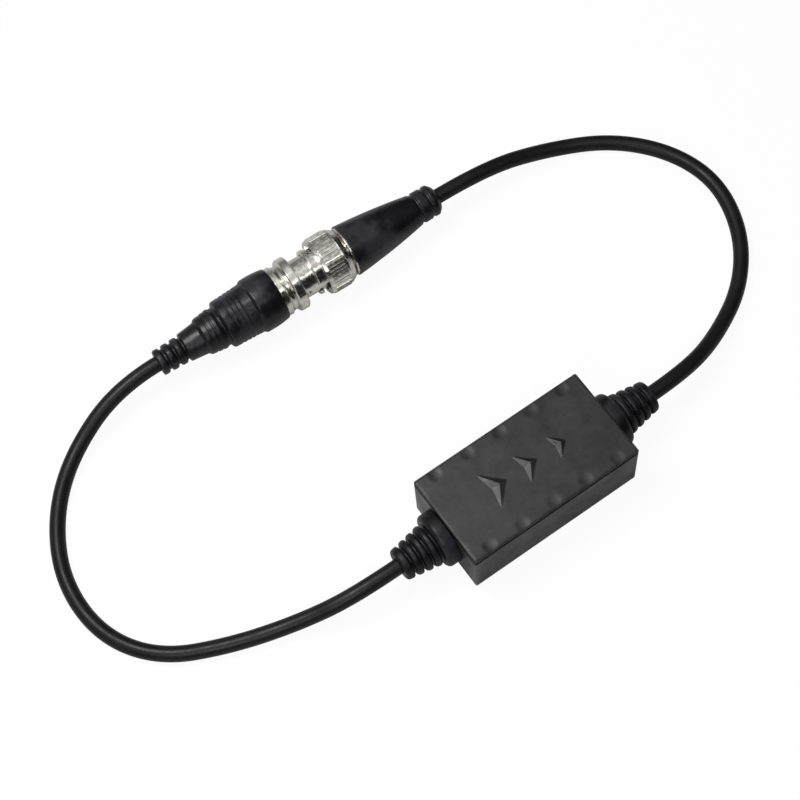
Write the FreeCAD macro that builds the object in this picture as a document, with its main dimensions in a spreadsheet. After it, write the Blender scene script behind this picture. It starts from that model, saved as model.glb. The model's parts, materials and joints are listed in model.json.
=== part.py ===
"""Video ground loop isolator: a small two-part case on a coaxial lead, with a
bayonet jack on the input end and a bayonet plug on the output end, mated.

Millimetres. +Z is up, the origin is at the middle of the case's underside, and
+X runs along the case from the input (jack) end to the output (plug) end.
"""

import FreeCAD, Part
import math
import os
import re

import Sketcher
from FreeCAD import Placement, Rotation, Vector

# Driving dimensions, in millimetres and degrees
SIZES = {
    # case
    "case_length": 44.2,
    "case_width": 23.2,
    "case_height": 15.5,
    "case_wall": 1.6,
    "case_floor": 1.6,
    "corner_radius": 0.45,
    "base_edge_radius": 0.3,
    # lid
    "lid_thickness": 1.3,
    "lid_bevel": 0.3,
    "reveal_height": 0.6,
    "reveal_depth": 0.5,
    "tongue_depth": 2.2,
    "tongue_wall": 1.0,
    "tongue_clearance": 0.1,
    "snap_length": 8.0,
    "snap_height": 0.7,
    "snap_depth": 0.3,
    "snap_drop": 1.0,
    "snap_play": 0.1,
    "snap_end_play": 0.2,
    "snap_spacing": 24.0,
    "saddle_set_back": 0.3,
    # thumb dimples along the lid's long edges
    "dimple_pitch": 8.6,
    "dimple_count": 5,
    "dimple_radius": 1.65,
    "dimple_inset": 1.4,
    "dimple_depth": 0.28,
    # raised flow arrows on the lid
    "arrow_height": 0.55,
    "arrow_top_share": 0.12,
    "first_arrow_tail": -10.1,
    "first_arrow_length": 4.8,
    "first_arrow_half_span": 4.7,
    "second_arrow_tail": -1.3,
    "second_arrow_length": 4.1,
    "second_arrow_half_span": 3.8,
    "third_arrow_tail": 7.4,
    "third_arrow_length": 3.2,
    "third_arrow_half_span": 3.1,
    # cable and its holes
    "cable_radius": 1.8,
    "bore_clearance": 0.05,
    "port_height": 7.75,
    # strain reliefs in the case's end walls
    "neck_radius": 3.5,
    "neck_clearance": 0.1,
    "inner_flange_radius": 4.6,
    "inner_flange_thickness": 1.4,
    "inner_flange_gap": 0.1,
    "outer_flange_radius": 6.6,
    "outer_flange_thickness": 3.4,
    "outer_flange_round": 1.1,
    "relief_root_radius": 5.2,
    "relief_tip_radius": 3.75,
    "relief_groove_depth": 0.95,
    "relief_groove_width": 0.55,
    "relief_first_rib": 4.0,
    "relief_rib_pitch": 2.15,
    "relief_rib_count": 4,
    "relief_rib_round": 0.5,
    "relief_length": 12.4,
    # circuit board and what stands on it
    "board_end_gap": 4.0,
    "board_side_gap": 0.8,
    "board_thickness": 1.2,
    "board_height": 4.2,
    "post_radius": 1.6,
    "post_inset": 2.2,
    "pin_radius": 0.7,
    "pin_stand": 0.5,
    "pin_clearance": 0.1,
    "core_outer_radius": 6.2,
    "core_inner_radius": 3.4,
    "core_height": 4.6,
    "core_chamfer": 0.4,
    "winding_wire": 0.6,
    "winding_clearance": 0.05,
    "winding_turns": 10,
    "winding_turn_angle": 12.0,
    "capacitor_offset_x": 10.6,
    "capacitor_offset_y": -4.4,
    "capacitor_thickness": 2.6,
    "capacitor_length": 7.2,
    "capacitor_height": 6.0,
    "capacitor_edge": 0.4,
    "capacitor_lead_spacing": 5.0,
    "resistor_offset_x": -10.6,
    "resistor_offset_y": -4.4,
    "resistor_radius": 1.15,
    "resistor_length": 5.2,
    "resistor_lead_spacing": 7.6,
    "resistor_gap": 0.2,
    "resistor_cap_length": 1.3,
    "resistor_cap_slope": 0.3,
    "resistor_waist_share": 0.82,
    "lead_wire_radius": 0.3,
    "lead_leg_radius": 0.26,
    "lead_hole_clearance": 0.1,
    "lead_tail": 0.8,
    # stripped cable ends
    "jacket_inside": 2.2,
    "core_wire_radius": 0.45,
    "core_wire_reach": 3.4,
    "wire_bend_radius": 0.9,
    "braid_offset": 1.2,
    "braid_radius": 0.45,
    "dielectric_radius": 1.2,
    "dielectric_length": 1.5,
    # mated connectors: where their axis lies
    "connector_x": -12.3,
    "connector_y": 71.8,
    "connector_z": 7.3,
    "connector_turn": -1.82,
    # jack, the female connector, measured back from the mating plane
    "jack_tube_radius": 4.85,
    "jack_tube_end": 9.0,
    "jack_cavity_radius": 4.15,
    "jack_cavity_depth": 8.4,
    "jack_flange_front": -1.4,
    "jack_flange_width": 2.45,
    "jack_flange_radius": 6.7,
    "jack_waist_width": 1.5,
    "jack_waist_radius": 5.7,
    "jack_waist_slope": 0.4,
    "jack_ring_width": 1.55,
    "jack_ring_radius": 6.2,
    "jack_tail_radius": 4.4,
    "jack_tail_length": 7.0,
    "tail_groove_depth": 0.5,
    "tail_groove_width": 1.0,
    "metal_chamfer": 0.3,
    "jack_insulator_radius": 2.9,
    "jack_insulator_recess": 1.5,
    "contact_gap": 0.02,
    "fit_gap": 0.05,
    "jack_boss_radius": 2.4,
    "jack_boss_end": 5.5,
    "jack_contact_radius": 1.1,
    "jack_contact_end": 5.2,
    "jack_contact_depth": 6.0,
    "jack_contact_slot": 0.3,
    "jack_contact_slot_depth": 3.0,
    "captive_hole_radius": 0.6,
    "captive_hole_depth": 0.5,
    "captive_hole_station": -0.55,
    "captive_hole_angle": 82.0,
    # bayonet: two lugs on the jack, two helical tracks in the collar
    "lug_radius": 1.0,
    "lug_top_radius": 5.5,
    "lug_station": 4.6,
    "lug_angle": -30.0,
    "lug_clearance": 0.15,
    "track_floor_radius": 6.0,
    "unlock_turn": 65.0,
    "unlock_travel": 0.5,
    # bayonet collar
    "collar_front": 2.3,
    "collar_bore_clearance": 0.1,
    "sleeve_radius": 5.75,
    "sleeve_length": 2.3,
    "knurl_radius": 7.25,
    "knurl_front": 5.5,
    "knurl_rear": 9.7,
    "knurl_count": 52,
    "knurl_depth": 0.22,
    "knurl_land": 0.3,
    "shoulder_radius": 6.85,
    "knurl_root_share": 0.35,
    "collar_bevel": 0.2,
    "collar_groove_slope": 0.1,
    "collar_groove_radius": 6.85,
    "collar_groove_width": 0.45,
    "collar_rear_radius": 6.3,
    "web_thickness": 1.05,
    "web_clearance": 0.08,
    "washer_room_radius": 5.3,
    # plug, the male connector, measured from the mating plane
    "sleeve_contact_front": 0.9,
    "sleeve_contact_radius": 4.05,
    "sleeve_contact_bore": 3.6,
    "sleeve_contact_slots": 4,
    "sleeve_contact_slot": 0.5,
    "sleeve_contact_slot_depth": 4.5,
    "gasket_thickness": 0.5,
    "gasket_outer_radius": 4.85,
    "hub_radius": 4.3,
    "retainer_thickness": 0.4,
    "retainer_radius": 4.85,
    "retainer_groove_radius": 4.0,
    "retainer_opening": 40.0,
    "wave_washer_height": 0.35,
    "washer_radius": 4.85,
    "thrust_washer_thickness": 0.2,
    "travel_clearance": 0.05,
    "rim_thickness": 0.5,
    "rim_radius": 6.2,
    "plug_tail_length": 6.4,
    "plug_tail_bore": 2.0,
    "plug_bevel": 0.15,
    "plug_insulator_front": 6.0,
    "plug_insulator_rear": 13.0,
    "pin_contact_radius": 0.68,
    "pin_contact_tip": -0.2,
    "pin_collar_radius": 1.1,
    "pin_rear": 16.0,
    "pin_nose": 0.4,
    # jack boot, from its mouth to its tail
    "jack_mouth_radius": 6.5,
    "jack_collar_start": 2.7,
    "jack_collar_radius": 6.9,
    "jack_collar_end": 6.3,
    "jack_grip_start": 6.7,
    "jack_grip_radius": 6.35,
    "jack_grip_end": 14.6,
    "jack_grip_end_radius": 6.0,
    "grip_groove_first": 8.7,
    "grip_groove_pitch": 1.15,
    "grip_groove_count": 4,
    "grip_groove_width": 0.4,
    "grip_groove_depth": 0.22,
    "shoulder_groove_width": 1.2,
    "shoulder_groove_radius": 4.75,
    "jack_cone_radius": 5.2,
    "jack_cone_end": 20.0,
    "jack_cone_end_radius": 4.65,
    "cone_groove_first": 17.0,
    "cone_groove_pitch": 1.3,
    "cone_groove_count": 2,
    "cone_groove_depth": 0.25,
    "jack_neck_start": 20.5,
    "jack_neck_radius": 4.05,
    "jack_neck_end": 24.9,
    "jack_neck_end_radius": 3.55,
    "boot_rib_pitch": 2.35,
    "boot_rib_width": 1.6,
    "boot_rib_radius": 3.35,
    "boot_rib_taper": 0.07,
    "boot_rib_groove": 0.6,
    "boot_rib_flank": 0.1,
    "boot_rib_round": 0.35,
    "boot_rib_count": 3,
    # plug boot, from its mouth to its tail
    "plug_boot_length": 25.3,
    "plug_mouth_radius": 6.5,
    "plug_neck_station": 19.2,
    "plug_neck_radius": 3.95,
    "plug_boot_bulge": 0.27,
    "plug_ring_width": 2.6,
    "plug_groove_width": 0.6,
    "plug_groove_depth": 0.4,
    "plug_end_radius": 3.75,
    "plug_tail_chamfer": 0.8,
    # free cables
    "cable_floor_gap": 0.05,
    "jack_end_run": 11.0,
    "plug_end_run": 14.35,
}

doc = FreeCAD.newDocument("ground_loop_isolator")
sheet = doc.addObject("Spreadsheet::Sheet", "Sizes")
for row, (alias, number) in enumerate(SIZES.items(), start=1):
    sheet.set(f"A{row}", alias)
    sheet.set(f"B{row}", str(number))
    sheet.setAlias(f"B{row}", alias)
doc.recompute()

NODES = []


def bound(formula):
    """Return the formula with each size's name made a reference to its cell."""
    def refer(word):
        name = word.group(0)
        return "Sizes." + name if name in SIZES else name
    return re.sub(r"[a-z][a-z_]*", refer, str(formula))


def value(formula):
    """Return the number that a formula of sizes comes to."""
    result = sheet.evalExpression(bound(formula))
    return float(getattr(result, "Value", result))


# Sketches

def origin_plane(body, role):
    """Return the body's own origin plane with this role."""
    return next(plane for plane in body.Origin.OriginFeatures if plane.Role == role)


def new_body(label, placement=None):
    """Return a new body that is a sub-part, placed and listed for export."""
    body = doc.addObject("PartDesign::Body", label)
    body.Label = label
    body.Placement = placement or Placement()
    NODES.append(body)
    return body


def new_sketch(body, name, role, lift="0"):
    """Return an empty sketch on an origin plane, lifted along its normal."""
    sketch = body.newObject("Sketcher::SketchObject", name)
    sketch.AttachmentSupport = [(origin_plane(body, role), "")]
    sketch.MapMode = "FlatFace"
    sketch.setExpression("AttachmentOffset.Base.z", bound(lift))
    return sketch


def pin_point(sketch, edge, end, across, up):
    """Hold one end of a sketch edge at a place given by two formulas."""
    if abs(value(across)) < 1e-9:
        sketch.addConstraint(Sketcher.Constraint("PointOnObject", edge, end, -2))
    else:
        index = sketch.addConstraint(Sketcher.Constraint("DistanceX", -1, 1, edge, end, value(across)))
        sketch.setExpression(f"Constraints[{index}]", bound(across))
    if abs(value(up)) < 1e-9:
        sketch.addConstraint(Sketcher.Constraint("PointOnObject", edge, end, -1))
    else:
        index = sketch.addConstraint(Sketcher.Constraint("DistanceY", -1, 1, edge, end, value(up)))
        sketch.setExpression(f"Constraints[{index}]", bound(up))


def bulging_arc(start, end, bulge):
    """Return an arc between two places that swells to the left of its way by a height."""
    way = end - start
    left = Vector(-way.y, way.x, 0).normalize()
    radius = way.Length ** 2 / (8 * bulge) + bulge / 2
    centre = (start + end) / 2 + left * (bulge - radius)
    first, last = (math.atan2(place.y - centre.y, place.x - centre.x) for place in (end, start))
    if last < first:
        last += 2 * math.pi
    return Part.ArcOfCircle(Part.Circle(centre, Vector(0, 0, 1), radius), first, last)


def polygon(sketch, points):
    """Draw a closed outline through points given as (across, up) or (across, up, bulge) formulas.

    A bulge makes the edge that leaves the point an arc, which swells by that height to the
    left of its way.
    """
    places = [Vector(value(point[0]), value(point[1]), 0) for point in points]
    first = sketch.GeometryCount
    count = len(points)
    begins, ends = [], []
    for number, point in enumerate(points):
        start, end = places[number], places[(number + 1) % count]
        arc = len(point) == 3
        begins.append(2 if arc else 1)
        ends.append(1 if arc else 2)
        edge = bulging_arc(start, end, value(point[2])) if arc else Part.LineSegment(start, end)
        sketch.addGeometry(edge, False)
    for number in range(count):
        following = (number + 1) % count
        sketch.addConstraint(Sketcher.Constraint(
            "Coincident", first + number, ends[number], first + following, begins[following],
        ))
    for number, point in enumerate(points):
        pin_point(sketch, first + number, begins[number], point[0], point[1])
        if len(point) == 3:
            after = points[(number + 1) % count]
            chord = f"(({after[0]}) - ({point[0]}))^2 + (({after[1]}) - ({point[1]}))^2"
            radius = f"({chord}) / (8 * ({point[2]})) + ({point[2]}) / 2"
            index = sketch.addConstraint(Sketcher.Constraint("Radius", first + number, value(radius)))
            sketch.setExpression(f"Constraints[{index}]", bound(radius))


def quarter(radius):
    """Return the bulge of a quarter round of this radius."""
    return f"({radius}) * (1 - sqrt(0.5))"


def rectangle(sketch, width, height, across="0", up="0"):
    """Draw a rectangle about a centre, all four given as formulas."""
    left, right = f"({across}) - ({width}) / 2", f"({across}) + ({width}) / 2"
    low, high = f"({up}) - ({height}) / 2", f"({up}) + ({height}) / 2"
    polygon(sketch, [(left, low), (right, low), (right, high), (left, high)])


def circle(sketch, radius, across="0", up="0"):
    """Draw a circle about a centre, all given as formulas."""
    centre = Vector(value(across), value(up), 0)
    edge = sketch.addGeometry(Part.Circle(centre, Vector(0, 0, 1), value(radius)), False)
    index = sketch.addConstraint(Sketcher.Constraint("Radius", edge, value(radius)))
    sketch.setExpression(f"Constraints[{index}]", bound(radius))
    pin_point(sketch, edge, 3, across, up)


# Features

def check_cut(body, before, feature):
    """Stop if a cut took nothing away."""
    doc.recompute()
    if not body.Shape.Volume < before - 1e-6:
        raise ValueError(f"{feature.Label} in {body.Label} cuts nothing")


def pad(body, sketch, length, symmetric=False, backwards=False):
    """Add the sketch's outline, thickened by a formula's length."""
    feature = body.newObject("PartDesign::Pad", sketch.Name + "Pad")
    feature.Profile = sketch
    feature.setExpression("Length", bound(length))
    feature.SideType = "Symmetric" if symmetric else "One side"
    feature.Reversed = backwards
    doc.recompute()
    return feature


def pocket(body, sketch, length, symmetric=False, backwards=False):
    """Cut the sketch's outline to a formula's depth."""
    before = body.Shape.Volume
    feature = body.newObject("PartDesign::Pocket", sketch.Name + "Pocket")
    feature.Profile = sketch
    feature.setExpression("Length", bound(length))
    feature.SideType = "Symmetric" if symmetric else "One side"
    feature.Reversed = backwards
    check_cut(body, before, feature)
    return feature


def revolve(body, name, points, role="XZ_Plane", axis="H_Axis"):
    """Turn an outline of (station, radius) points about the body's axis."""
    sketch = new_sketch(body, name, role)
    polygon(sketch, points)
    feature = body.newObject("PartDesign::Revolution", name + "Turned")
    feature.Profile = sketch
    feature.ReferenceAxis = (sketch, [axis])
    feature.Angle = 360
    doc.recompute()
    return feature


def groove(body, name, points):
    """Cut an outline of (station, radius) points, turned about the body's axis."""
    before = body.Shape.Volume
    sketch = new_sketch(body, name, "XZ_Plane")
    polygon(sketch, points)
    feature = body.newObject("PartDesign::Groove", name + "Turned")
    feature.Profile = sketch
    feature.ReferenceAxis = (sketch, ["H_Axis"])
    feature.Angle = 360
    check_cut(body, before, feature)
    return feature


def ring_pattern(body, features, sketch, axis, count, angle="360"):
    """Repeat features evenly round an axis of a sketch."""
    pattern = body.newObject("PartDesign::PolarPattern", features[0].Name + "Round")
    pattern.Originals = features
    pattern.Axis = (sketch, [axis])
    pattern.setExpression("Angle", bound(angle))
    pattern.setExpression("Occurrences", bound(count))
    body.Tip = pattern
    doc.recompute()
    return pattern


def row_pattern(body, features, sketch, length, count):
    """Repeat features in a row along a sketch's horizontal axis."""
    pattern = body.newObject("PartDesign::LinearPattern", features[0].Name + "Row")
    pattern.Originals = features
    pattern.Direction = (sketch, ["H_Axis"])
    pattern.setExpression("Length", bound(length))
    pattern.setExpression("Occurrences", bound(count))
    body.Tip = pattern
    doc.recompute()
    return pattern


def edges_where(body, test):
    """Return the names of the body's edges that pass a test."""
    return [f"Edge{number}" for number, edge in enumerate(body.Shape.Edges, start=1) if test(edge)]


def dress(body, kind, size, test):
    """Round or bevel the edges that pass a test."""
    base = body.Tip
    feature = body.newObject("PartDesign::" + kind, body.Label + kind)
    feature.Base = (base, edges_where(body, test))
    feature.setExpression("Radius" if kind == "Fillet" else "Size", bound(size))
    doc.recompute()
    return feature


def upright(edge):
    """Say whether an edge is a straight line along Z."""
    ends = [vertex.Point for vertex in edge.Vertexes]
    return len(ends) == 2 and abs(ends[0].x - ends[1].x) < 1e-6 and abs(ends[0].y - ends[1].y) < 1e-6


def level_at(height):
    """Return a test for edges that lie wholly at a height."""
    def test(edge):
        return all(abs(vertex.Point.z - height) < 1e-6 for vertex in edge.Vertexes)
    return test


# Frames: the case's ports, the mated connectors and their boots

def port_frame(side):
    """Return the frame of the output (+1) or input (-1) port, its +X pointing out of the case."""
    spot = Vector(side * value("case_length / 2"), 0, value("port_height"))
    return Placement(spot, Rotation(Vector(0, 0, 1), 0 if side > 0 else 180))


CONNECTOR = Placement(
    Vector(value("connector_x"), value("connector_y"), value("connector_z")),
    Rotation(Vector(0, 0, 1), value("connector_turn")),
)
JACK_REAR = "(-jack_flange_front + jack_flange_width + jack_waist_width + jack_ring_width)"
RETAINER_FRONT = "(jack_tube_end + gasket_thickness + fit_gap)"
RETAINER_REAR = f"({RETAINER_FRONT} + retainer_thickness)"
WAVE_REAR = f"({RETAINER_REAR} + wave_washer_height)"
WEB_FRONT = f"({WAVE_REAR} + thrust_washer_thickness)"
COLLAR_REAR = f"({WEB_FRONT} + web_thickness)"
RIM_FRONT = f"({COLLAR_REAR} + unlock_travel + travel_clearance)"
RIM_REAR = f"({RIM_FRONT} + rim_thickness)"
JACK_BOOT = CONNECTOR * Placement(Vector(-value(JACK_REAR), 0, 0), Rotation(Vector(0, 0, 1), 180))
PLUG_BOOT = CONNECTOR * Placement(Vector(value(RIM_REAR), 0, 0), Rotation())
RIM_HEIGHT = "(case_height - lid_thickness)"
BOARD_TOP = "(board_height + board_thickness)"
BOARD_LENGTH = "(case_length - 2 * case_wall - 2 * board_end_gap)"
BOARD_WIDTH = "(case_width - 2 * case_wall - 2 * board_side_gap)"


def turned(placement, angle):
    """Return a placement turned about its own X axis by an angle in degrees."""
    return placement * Placement(Vector(), Rotation(Vector(1, 0, 0), angle))


# Case base: an open tray with notched ends, board posts and snap grooves

def make_case_base():
    """Make the open tray: walls, end notches, snap grooves, board posts and pins."""
    body = new_body("case_base")
    block = new_sketch(body, "BaseOutline", "XY_Plane")
    rectangle(block, "case_length", "case_width")
    pad(body, block, RIM_HEIGHT)
    dress(body, "Fillet", "corner_radius", upright)
    dress(body, "Fillet", "base_edge_radius", level_at(0.0))

    room = new_sketch(body, "BaseRoom", "XY_Plane", RIM_HEIGHT)
    rectangle(room, "case_length - 2 * case_wall", "case_width - 2 * case_wall")
    pocket(body, room, f"{RIM_HEIGHT} - case_floor")

    notch_top = new_sketch(body, "NotchSides", "YZ_Plane")
    rectangle(
        notch_top, "2 * (neck_radius + neck_clearance)", f"{RIM_HEIGHT} - port_height",
        up=f"({RIM_HEIGHT} + port_height) / 2",
    )
    pocket(body, notch_top, "case_length + 2", symmetric=True)
    notch_round = new_sketch(body, "NotchRound", "YZ_Plane")
    circle(notch_round, "neck_radius + neck_clearance", up="port_height")
    pocket(body, notch_round, "case_length + 2", symmetric=True)

    snap = new_sketch(body, "SnapGroove", "XZ_Plane")
    for side in ("-", ""):
        rectangle(
            snap, "snap_length + 2 * snap_end_play", "snap_height + snap_play",
            across=f"{side}snap_spacing / 2", up=f"{RIM_HEIGHT} - snap_drop",
        )
    pocket(body, snap, "case_width - 2 * case_wall + 2 * snap_depth", symmetric=True)

    across, up = f"{BOARD_LENGTH} / 2 - post_inset", f"{BOARD_WIDTH} / 2 - post_inset"
    for part, radius, lift, length in (
        ("Post", "post_radius", "case_floor", "board_height - case_floor"),
        ("Pin", "pin_radius", "board_height", "board_thickness + pin_stand"),
    ):
        sketch = new_sketch(body, "Board" + part, "XY_Plane", lift)
        for side_x in ("-", ""):
            for side_y in ("-", ""):
                circle(sketch, radius, f"{side_x}({across})", f"{side_y}({up})")
        pad(body, sketch, length)


# Lid: bevelled plate with reveal, tongue, saddles, raised arrows and dimples

def arrow_points(tail, length, half_span, share="1"):
    """Return an arrowhead's four corners, drawn in towards its crest by a share."""
    crest = f"({tail} + {length} * 0.6)"
    corners = [(tail, half_span), (f"{tail} + {length} * 0.2", "0"), (tail, f"-{half_span}"),
               (f"{tail} + {length}", "0")]
    return [(f"{crest} + ({across} - {crest}) * {share}", f"({up}) * {share}") for across, up in corners]


def make_case_lid():
    """Make the lid: plate, reveal, tongue, snap ridges, saddles, arrows and dimples."""
    body = new_body("case_lid")
    plate = new_sketch(body, "LidOutline", "XY_Plane", RIM_HEIGHT)
    rectangle(plate, "case_length", "case_width")
    pad(body, plate, "lid_thickness")
    dress(body, "Fillet", "corner_radius", upright)
    dress(body, "Chamfer", "lid_bevel", level_at(value("case_height")))

    reveal = new_sketch(body, "Reveal", "XY_Plane", RIM_HEIGHT)
    rectangle(reveal, "case_length + 2", "case_width + 2")
    rectangle(reveal, "case_length - 2 * reveal_depth", "case_width - 2 * reveal_depth")
    pocket(body, reveal, "reveal_height", backwards=True)

    tongue = new_sketch(body, "Tongue", "XY_Plane", RIM_HEIGHT)
    inset = "2 * (case_wall + tongue_clearance)"
    rectangle(tongue, f"case_length - {inset}", f"case_width - {inset}")
    rectangle(tongue, f"case_length - {inset} - 2 * tongue_wall", f"case_width - {inset} - 2 * tongue_wall")
    pad(body, tongue, "tongue_depth", backwards=True)

    ridge = new_sketch(body, "SnapRidge", "XZ_Plane")
    for side in ("-", ""):
        rectangle(
            ridge, "snap_length", "snap_height",
            across=f"{side}snap_spacing / 2", up=f"{RIM_HEIGHT} - snap_drop",
        )
    ridges = pad(body, ridge, f"case_width - {inset} + 2 * snap_depth", symmetric=True)
    ridges.Refine = True
    inner = new_sketch(body, "RidgeRoom", "XZ_Plane")
    rectangle(
        inner, "snap_spacing + snap_length + 1", "tongue_depth",
        up=f"{RIM_HEIGHT} - tongue_depth / 2",
    )
    pocket(body, inner, f"case_width - {inset} - 2 * tongue_wall", symmetric=True)

    saddle = new_sketch(body, "SaddleBlock", "YZ_Plane")
    rectangle(
        saddle, "2 * neck_radius", f"{RIM_HEIGHT} - port_height",
        up=f"({RIM_HEIGHT} + port_height) / 2",
    )
    pad(body, saddle, "case_length - 2 * saddle_set_back", symmetric=True)
    between = new_sketch(body, "SaddleGap", "YZ_Plane")
    rectangle(
        between, "2 * neck_radius + 1", f"{RIM_HEIGHT} - port_height + 1",
        up=f"({RIM_HEIGHT} + port_height) / 2 - 0.5",
    )
    pocket(body, between, "case_length - 2 * case_wall", symmetric=True)
    hollow = new_sketch(body, "SaddleHollow", "YZ_Plane")
    circle(hollow, "neck_radius + neck_clearance", up="port_height")
    pocket(body, hollow, "case_length", symmetric=True)

    for order in ("first", "second", "third"):
        sizes = (f"{order}_arrow_tail", f"{order}_arrow_length", f"{order}_arrow_half_span")
        foot = new_sketch(body, order + "ArrowFoot", "XY_Plane", "case_height")
        polygon(foot, arrow_points(*sizes))
        crest = new_sketch(body, order + "ArrowCrest", "XY_Plane", "case_height + arrow_height")
        polygon(crest, arrow_points(*sizes, share="arrow_top_share"))
        wedge = body.newObject("PartDesign::AdditiveLoft", order + "Arrow")
        wedge.Profile = foot
        wedge.Sections = [crest]
        wedge.Ruled = True
        doc.recompute()

    ball = "((dimple_radius * dimple_radius + dimple_depth * dimple_depth) / (2 * dimple_depth))"
    for name, side in (("Far", ""), ("Near", "-")):
        before = body.Shape.Volume
        dish = body.newObject("PartDesign::SubtractiveSphere", name + "Dimple")
        dish.AttachmentSupport = [(origin_plane(body, "XY_Plane"), "")]
        dish.MapMode = "FlatFace"
        dish.setExpression("Radius", bound(ball))
        dish.setExpression("AttachmentOffset.Base.x", bound("-dimple_pitch * (dimple_count - 1) / 2"))
        dish.setExpression("AttachmentOffset.Base.y", bound(f"{side}(case_width / 2 - dimple_inset)"))
        dish.setExpression("AttachmentOffset.Base.z", bound(f"case_height - dimple_depth + {ball}"))
        check_cut(body, before, dish)
        row_pattern(body, [dish], plate, "dimple_pitch * (dimple_count - 1)", "dimple_count")


# Strain reliefs: a grooved neck in the wall, an outer flange and tapering ribs

def make_relief(label, side):
    """Make the ribbed strain relief of one port, its neck held in the end wall."""
    body = new_body(label, port_frame(side))
    inner = "-(case_wall + inner_flange_gap)"
    bore, bend = "cable_radius + bore_clearance", "relief_rib_round"
    slope = "(relief_root_radius - relief_tip_radius) / (relief_length - relief_first_rib)"

    def skin(station):
        """Return the ribs' radius at a station."""
        return f"relief_root_radius - ({station} - relief_first_rib) * {slope}"

    points = [
        (f"{inner} - inner_flange_thickness", bore),
        (f"{inner} - inner_flange_thickness", "inner_flange_radius"),
        (inner, "inner_flange_radius"), (inner, "neck_radius"), ("0", "neck_radius"),
        ("0", "outer_flange_radius"),
        (
            "outer_flange_thickness - outer_flange_round", "outer_flange_radius",
            quarter("outer_flange_round"),
        ),
        ("outer_flange_thickness", "outer_flange_radius - outer_flange_round"),
        ("outer_flange_thickness", "relief_root_radius - relief_groove_depth"),
    ]
    for number in range(int(value("relief_rib_count"))):
        start = f"relief_first_rib + {number} * relief_rib_pitch"
        last = number == int(value("relief_rib_count")) - 1
        end = "relief_length" if last else f"{start} + relief_rib_pitch - relief_groove_width"
        points += [
            (start, f"{skin(start)} - relief_groove_depth"),
            (start, f"{skin(start)} - {bend}", quarter(bend)), (f"{start} + {bend}", skin(start)),
            (f"{end} - {bend}", skin(end), quarter(bend)), (end, f"{skin(end)} - {bend}"),
        ]
        if not last:
            points.append((end, f"{skin(end)} - relief_groove_depth"))
    points.append(("relief_length", bore))
    revolve(body, "ReliefProfile", points)


# Stripped cable ends in the case: jacket stub, core wire and braid tail

def make_lead_end(label, side):
    """Make the stripped cable end inside the case at one port, and its braid tail."""
    frame = port_frame(side)
    stub_end = "-(case_wall + inner_flange_gap + inner_flange_thickness + jacket_inside)"
    drop = f"port_height - {BOARD_TOP}"
    turn_x = f"{stub_end} - core_wire_reach"

    body = new_body(label + "_lead_end", frame)
    revolve(body, "LeadProfile", [
        (stub_end, "0"), (stub_end, "cable_radius"), ("relief_length", "cable_radius"),
        ("relief_length", "0"),
    ])
    wire_path(body, "Core", stub_end, turn_x, "0", drop, "core_wire_radius")

    braid = new_body(label + "_braid_tail", frame)
    wire_path(braid, "Braid", stub_end, turn_x, "braid_offset", drop, "braid_radius")


def wire_path(body, name, start, turn_x, offset, drop, radius):
    """Add a wire that runs inwards from a station, bends and drops to the board."""
    path = new_sketch(body, name + "Path", "XZ_Plane", f"-({offset})")
    bend_x, bend_z = f"{turn_x} + wire_bend_radius", "-wire_bend_radius"
    corners = [Vector(value(start), 0, 0), Vector(value(bend_x), 0, 0),
               Vector(value(turn_x), value(bend_z), 0), Vector(value(turn_x), -value(drop), 0)]
    centre = Vector(value(bend_x), value(bend_z), 0)
    bend = value("wire_bend_radius")
    path.addGeometry(Part.LineSegment(corners[0], corners[1]), False)
    arc = Part.ArcOfCircle(Part.Circle(centre, Vector(0, 0, 1), bend), math.pi / 2, math.pi)
    path.addGeometry(arc, False)
    path.addGeometry(Part.LineSegment(corners[2], corners[3]), False)
    path.addConstraint(Sketcher.Constraint("Coincident", 0, 2, 1, 1))
    path.addConstraint(Sketcher.Constraint("Coincident", 1, 2, 2, 1))
    pin_point(path, 0, 1, start, "0")
    pin_point(path, 0, 2, bend_x, "0")
    pin_point(path, 1, 3, bend_x, bend_z)
    path.addConstraint(Sketcher.Constraint("Horizontal", 1, 3, 2, 1))
    pin_point(path, 2, 2, turn_x, f"-({drop})")
    section = new_sketch(body, name + "Section", "YZ_Plane", start)
    circle(section, radius, across=offset)
    pipe = body.newObject("PartDesign::AdditivePipe", name + "Wire")
    pipe.Profile = section
    pipe.Spine = (path, ["Edge1", "Edge2", "Edge3"])
    doc.recompute()


# Circuit board, ring core, windings and the parts beside them

def make_board():
    """Make the circuit board with its pin holes and lead holes."""
    body = new_body("circuit_board")
    outline = new_sketch(body, "BoardOutline", "XY_Plane", "board_height")
    rectangle(outline, BOARD_LENGTH, BOARD_WIDTH)
    for side_x in ("-", ""):
        for side_y in ("-", ""):
            circle(
                outline, "pin_radius + pin_clearance",
                f"{side_x}({BOARD_LENGTH} / 2 - post_inset)", f"{side_y}({BOARD_WIDTH} / 2 - post_inset)",
            )
    for part in ("capacitor", "resistor"):
        for side in ("-", "+"):
            circle(
                outline, "lead_wire_radius + lead_hole_clearance",
                f"{part}_offset_x", f"{part}_offset_y {side} {part}_lead_spacing / 2",
            )
    pad(body, outline, "board_thickness")


CORE_BASE = f"({BOARD_TOP} + winding_wire + winding_clearance)"


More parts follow.
